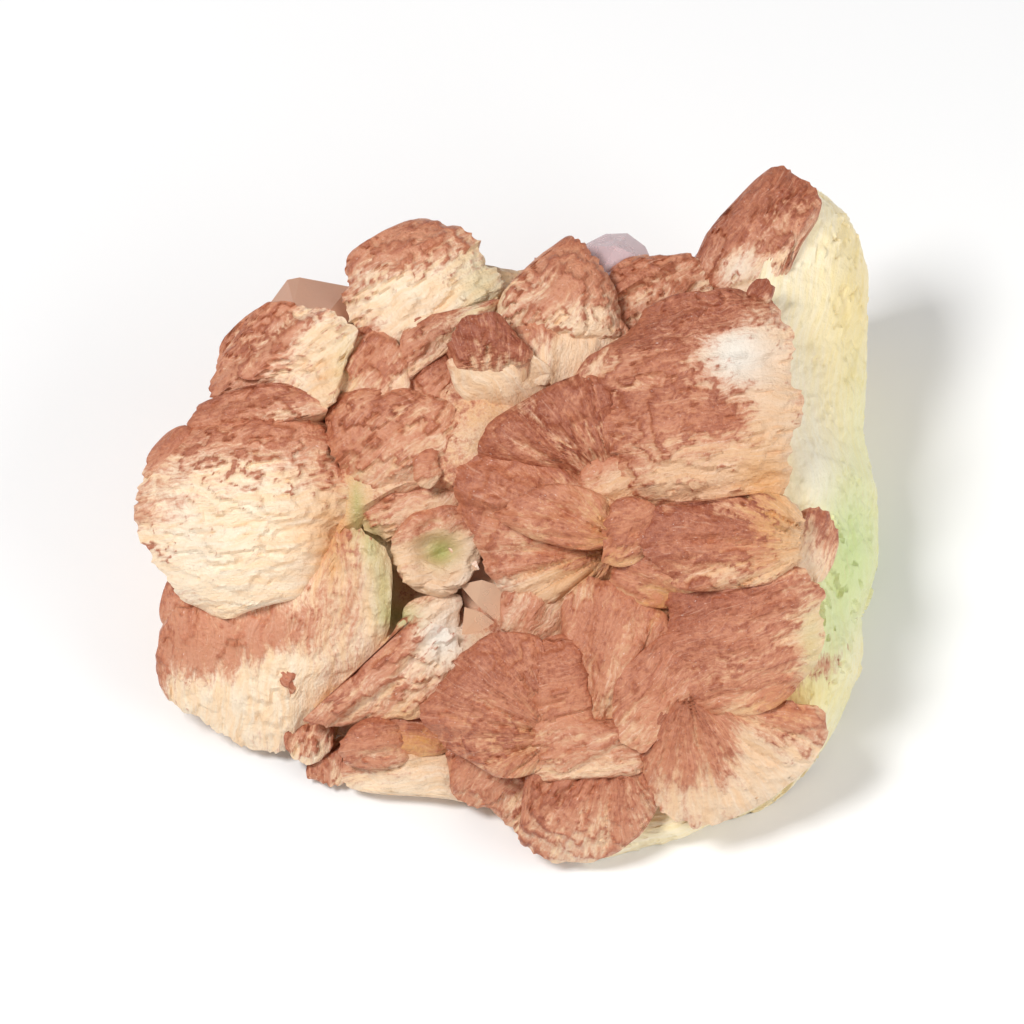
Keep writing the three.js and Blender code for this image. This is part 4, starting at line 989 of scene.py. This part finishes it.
def crystal_material(name, groups, colors, surface):
    """Stilbite, dusted or broken: the two differ in their colours and their surface."""
    material = bpy.data.materials.new(name)
    material.use_nodes = True
    tree = material.node_tree
    shader = tree.nodes["Principled BSDF"]
    painted = {key: add(tree, "Attribute", {"attribute_name": key}) for key in
               ("blade", "side", "dust", "line", "dark", "warm", "ochre", "green", "pearl")}
    value = {key: node.outputs["Fac"] for key, node in painted.items()}
    run = add(tree, "Group", {"node_tree": groups["blade_grain"]},
              {"Blade": painted["blade"].outputs["Vector"], "Side": value["side"]}).outputs
    grained = {key: run[key] for key in ("Streak", "Fibre")}
    body = add(tree, "Group", {"node_tree": groups["crystal_body"]}, {
        "Tan": value["warm"], "Ochre": value["ochre"], "Green": value["green"], "Pearl": value["pearl"],
        **grained, **{key: colors[key] for key in ("Pale", "Warm", "Stain", "Moss")},
    }).outputs
    dust = add(tree, "Group", {"node_tree": groups["salmon_dust"]}, {
        "Dust": value["dust"], "Line": value["line"], "Dark": value["dark"], "Base": body["Color"],
        "Flake": run["Flake"], "Spark": run["Spark"], **grained, **SALMON,
    }).outputs
    tree.links.new(dust["Color"], shader.inputs["Base Color"])
    rough = total_of(tree, (dust["Cover"], surface["matt"]), (dust["Glint"], -0.2), start=surface["gloss"])
    tree.links.new(rough, shader.inputs["Roughness"])
    height = total_of(
        tree, (run["Fibre"], 0.5), (run["Flake"], 1.0), (value["line"], 0.5), (dust["Grit"], 1.0))
    bump = add(tree, "Bump", None, {"Strength": surface["bump"], "Distance": 0.0005, "Height": height})
    tree.links.new(bump.outputs[0], shader.inputs["Normal"])
    return material


def clear_material(name, color, density, rough, clear):
    """Clear crystal, tinted through its depth and milky where it isn't quite clear."""
    material = bpy.data.materials.new(name)
    material.use_nodes = True
    tree = material.node_tree
    shader = tree.nodes["Principled BSDF"]
    shader.inputs["Base Color"].default_value = color
    shader.inputs["Transmission Weight"].default_value = clear
    shader.inputs["IOR"].default_value = 1.535
    place = add(tree, "TexCoord").outputs["Object"]
    lines = grain(tree, place, (1, 1, 1), 900.0, 3, 0.7)
    veils = grain(tree, place, (1, 1, 1), 160.0, 3, 0.7)
    frost = total_of(tree, (between(tree, veils, 0.5, 0.7), 0.25), start=rough)
    tree.links.new(frost, shader.inputs["Roughness"])
    bump = add(tree, "Bump", None, {"Strength": 0.25, "Distance": 0.0004, "Height": lines})
    tree.links.new(bump.outputs[0], shader.inputs["Normal"])
    inside = add(tree, "VolumeAbsorption", None, {"Color": color, "Density": density})
    tree.links.new(inside.outputs[0], tree.nodes["Material Output"].inputs["Volume"])
    return material


SALMON = {"Light": tone(203, 127, 92), "Deep": tone(136, 58, 34)}
GROUPS = {
    "blade_grain": blade_grain_group(),
    "crystal_body": crystal_body_group(),
    "salmon_dust": salmon_dust_group(),
}
STILBITE = crystal_material(
    "stilbite_sheaf",
    GROUPS,
    {
        "Pale": tone(255, 236, 208), "Warm": tone(252, 218, 178),
        "Stain": tone(222, 158, 88), "Moss": tone(180, 178, 106),
    },
    {"gloss": 0.36, "matt": 0.04, "bump": 0.7},
)
BROKEN = crystal_material(
    "stilbite_broken",
    GROUPS,
    {
        "Pale": tone(255, 244, 218), "Warm": tone(252, 234, 188),
        "Stain": tone(250, 222, 138), "Moss": tone(206, 226, 146),
    },
    {"gloss": 0.3, "matt": 0.25, "bump": 0.4},
)
CLEAR = {
    "apophyllite_back": clear_material("apophyllite_clear", tone(252, 226, 230), 3.0, 0.2, 0.45),
    "apophyllite_rim": clear_material("apophyllite_clear_small", tone(248, 226, 230), 8.0, 0.2, 0.6),
    "apophyllite_left": clear_material("apophyllite_brown", tone(232, 180, 150), 6.0, 0.3, 0.35),
    "apophyllite_pocket": clear_material("apophyllite_green", tone(250, 206, 172), 5.0, 0.2, 0.3),
}

for index, (name, sheaf) in enumerate(FACE_SHEAVES.items()):
    sheaf_piece("sheaf_" + name, sheaf, index * 17, from_face, True)
for index, (name, row) in enumerate(SIDE_SHEAVES.items()):
    across, up, out = row["at"]
    rim = oval_rim(across, up, row["long"], row["deep"])
    root = (across * 0.4, up * 0.4, out - SIDE_DEPTH)
    sheaf = dict(SIDE_BUILD, **row, rim=rim, root=root, out=out)
    place = facing(row["heading"], row["rise"], SIDE_MIDDLE)
    sheaf_piece("sheaf_" + name, sheaf, 1000 + index * 17, place, False)
wall_piece()
heart_piece("heart", HEART["at"], HEART["radii"], from_face)
heart_piece("heart_right", HEART_RIGHT["at"], HEART_RIGHT["radii"], from_face)
heart_piece("base", BASE["at"], BASE["radii"], facing(0, 90, SIDE_MIDDLE))
for node, material in CLEAR.items():
    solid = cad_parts[node]
    solid.data.materials.clear()
    solid.data.materials.append(material)


CAMERA_AWAY = 1.0
PICTURE_WIDE = 0.2048  # the width of the picture at the middle of the crystal face
SKY = 0.36
LAMPS = [
    ("key", (-0.42, -0.15, 0.88), 0.25, 6.5),
    ("fill", (0.8, -0.3, 0.5), 0.8, 4.2),
]


def studio():
    """A pale floor, soft light from above, and the camera that looks straight at the face."""
    bpy.ops.mesh.primitive_plane_add(size=6)
    floor = bpy.context.object
    floor.name = "floor"
    paper = bpy.data.materials.new("paper")
    paper.use_nodes = True
    sheet = paper.node_tree.nodes["Principled BSDF"].inputs
    sheet["Base Color"].default_value = (0.95, 0.95, 0.95, 1)
    sheet["Roughness"].default_value = 0.9
    floor.data.materials.append(paper)
    world = bpy.data.worlds.new("studio")
    world.use_nodes = True
    sky = world.node_tree.nodes["Background"].inputs
    sky["Color"].default_value = (1, 1, 1, 1)
    sky["Strength"].default_value = SKY
    bpy.context.scene.world = world
    for name, place, size, power in LAMPS:
        bpy.ops.object.light_add(type="AREA", location=place)
        lamp = bpy.context.object
        lamp.name = name
        lamp.data.size = size
        lamp.data.energy = power
        lamp.rotation_euler = (-Vector(place)).to_track_quat("-Z", "Y").to_euler()
    middle = Vector(FACE_MIDDLE) * MM
    look = Vector(axes_of(0, FACE_RISE)[2])
    bpy.ops.object.camera_add(location=middle + look * CAMERA_AWAY)
    camera = bpy.context.object
    camera.rotation_euler = look.to_track_quat("Z", "Y").to_euler()
    camera.data.sensor_width = 36
    camera.data.lens = 36 * CAMERA_AWAY / PICTURE_WIDE
    bpy.context.scene.camera = camera
    bpy.context.scene.view_settings.view_transform = "Standard"


studio()
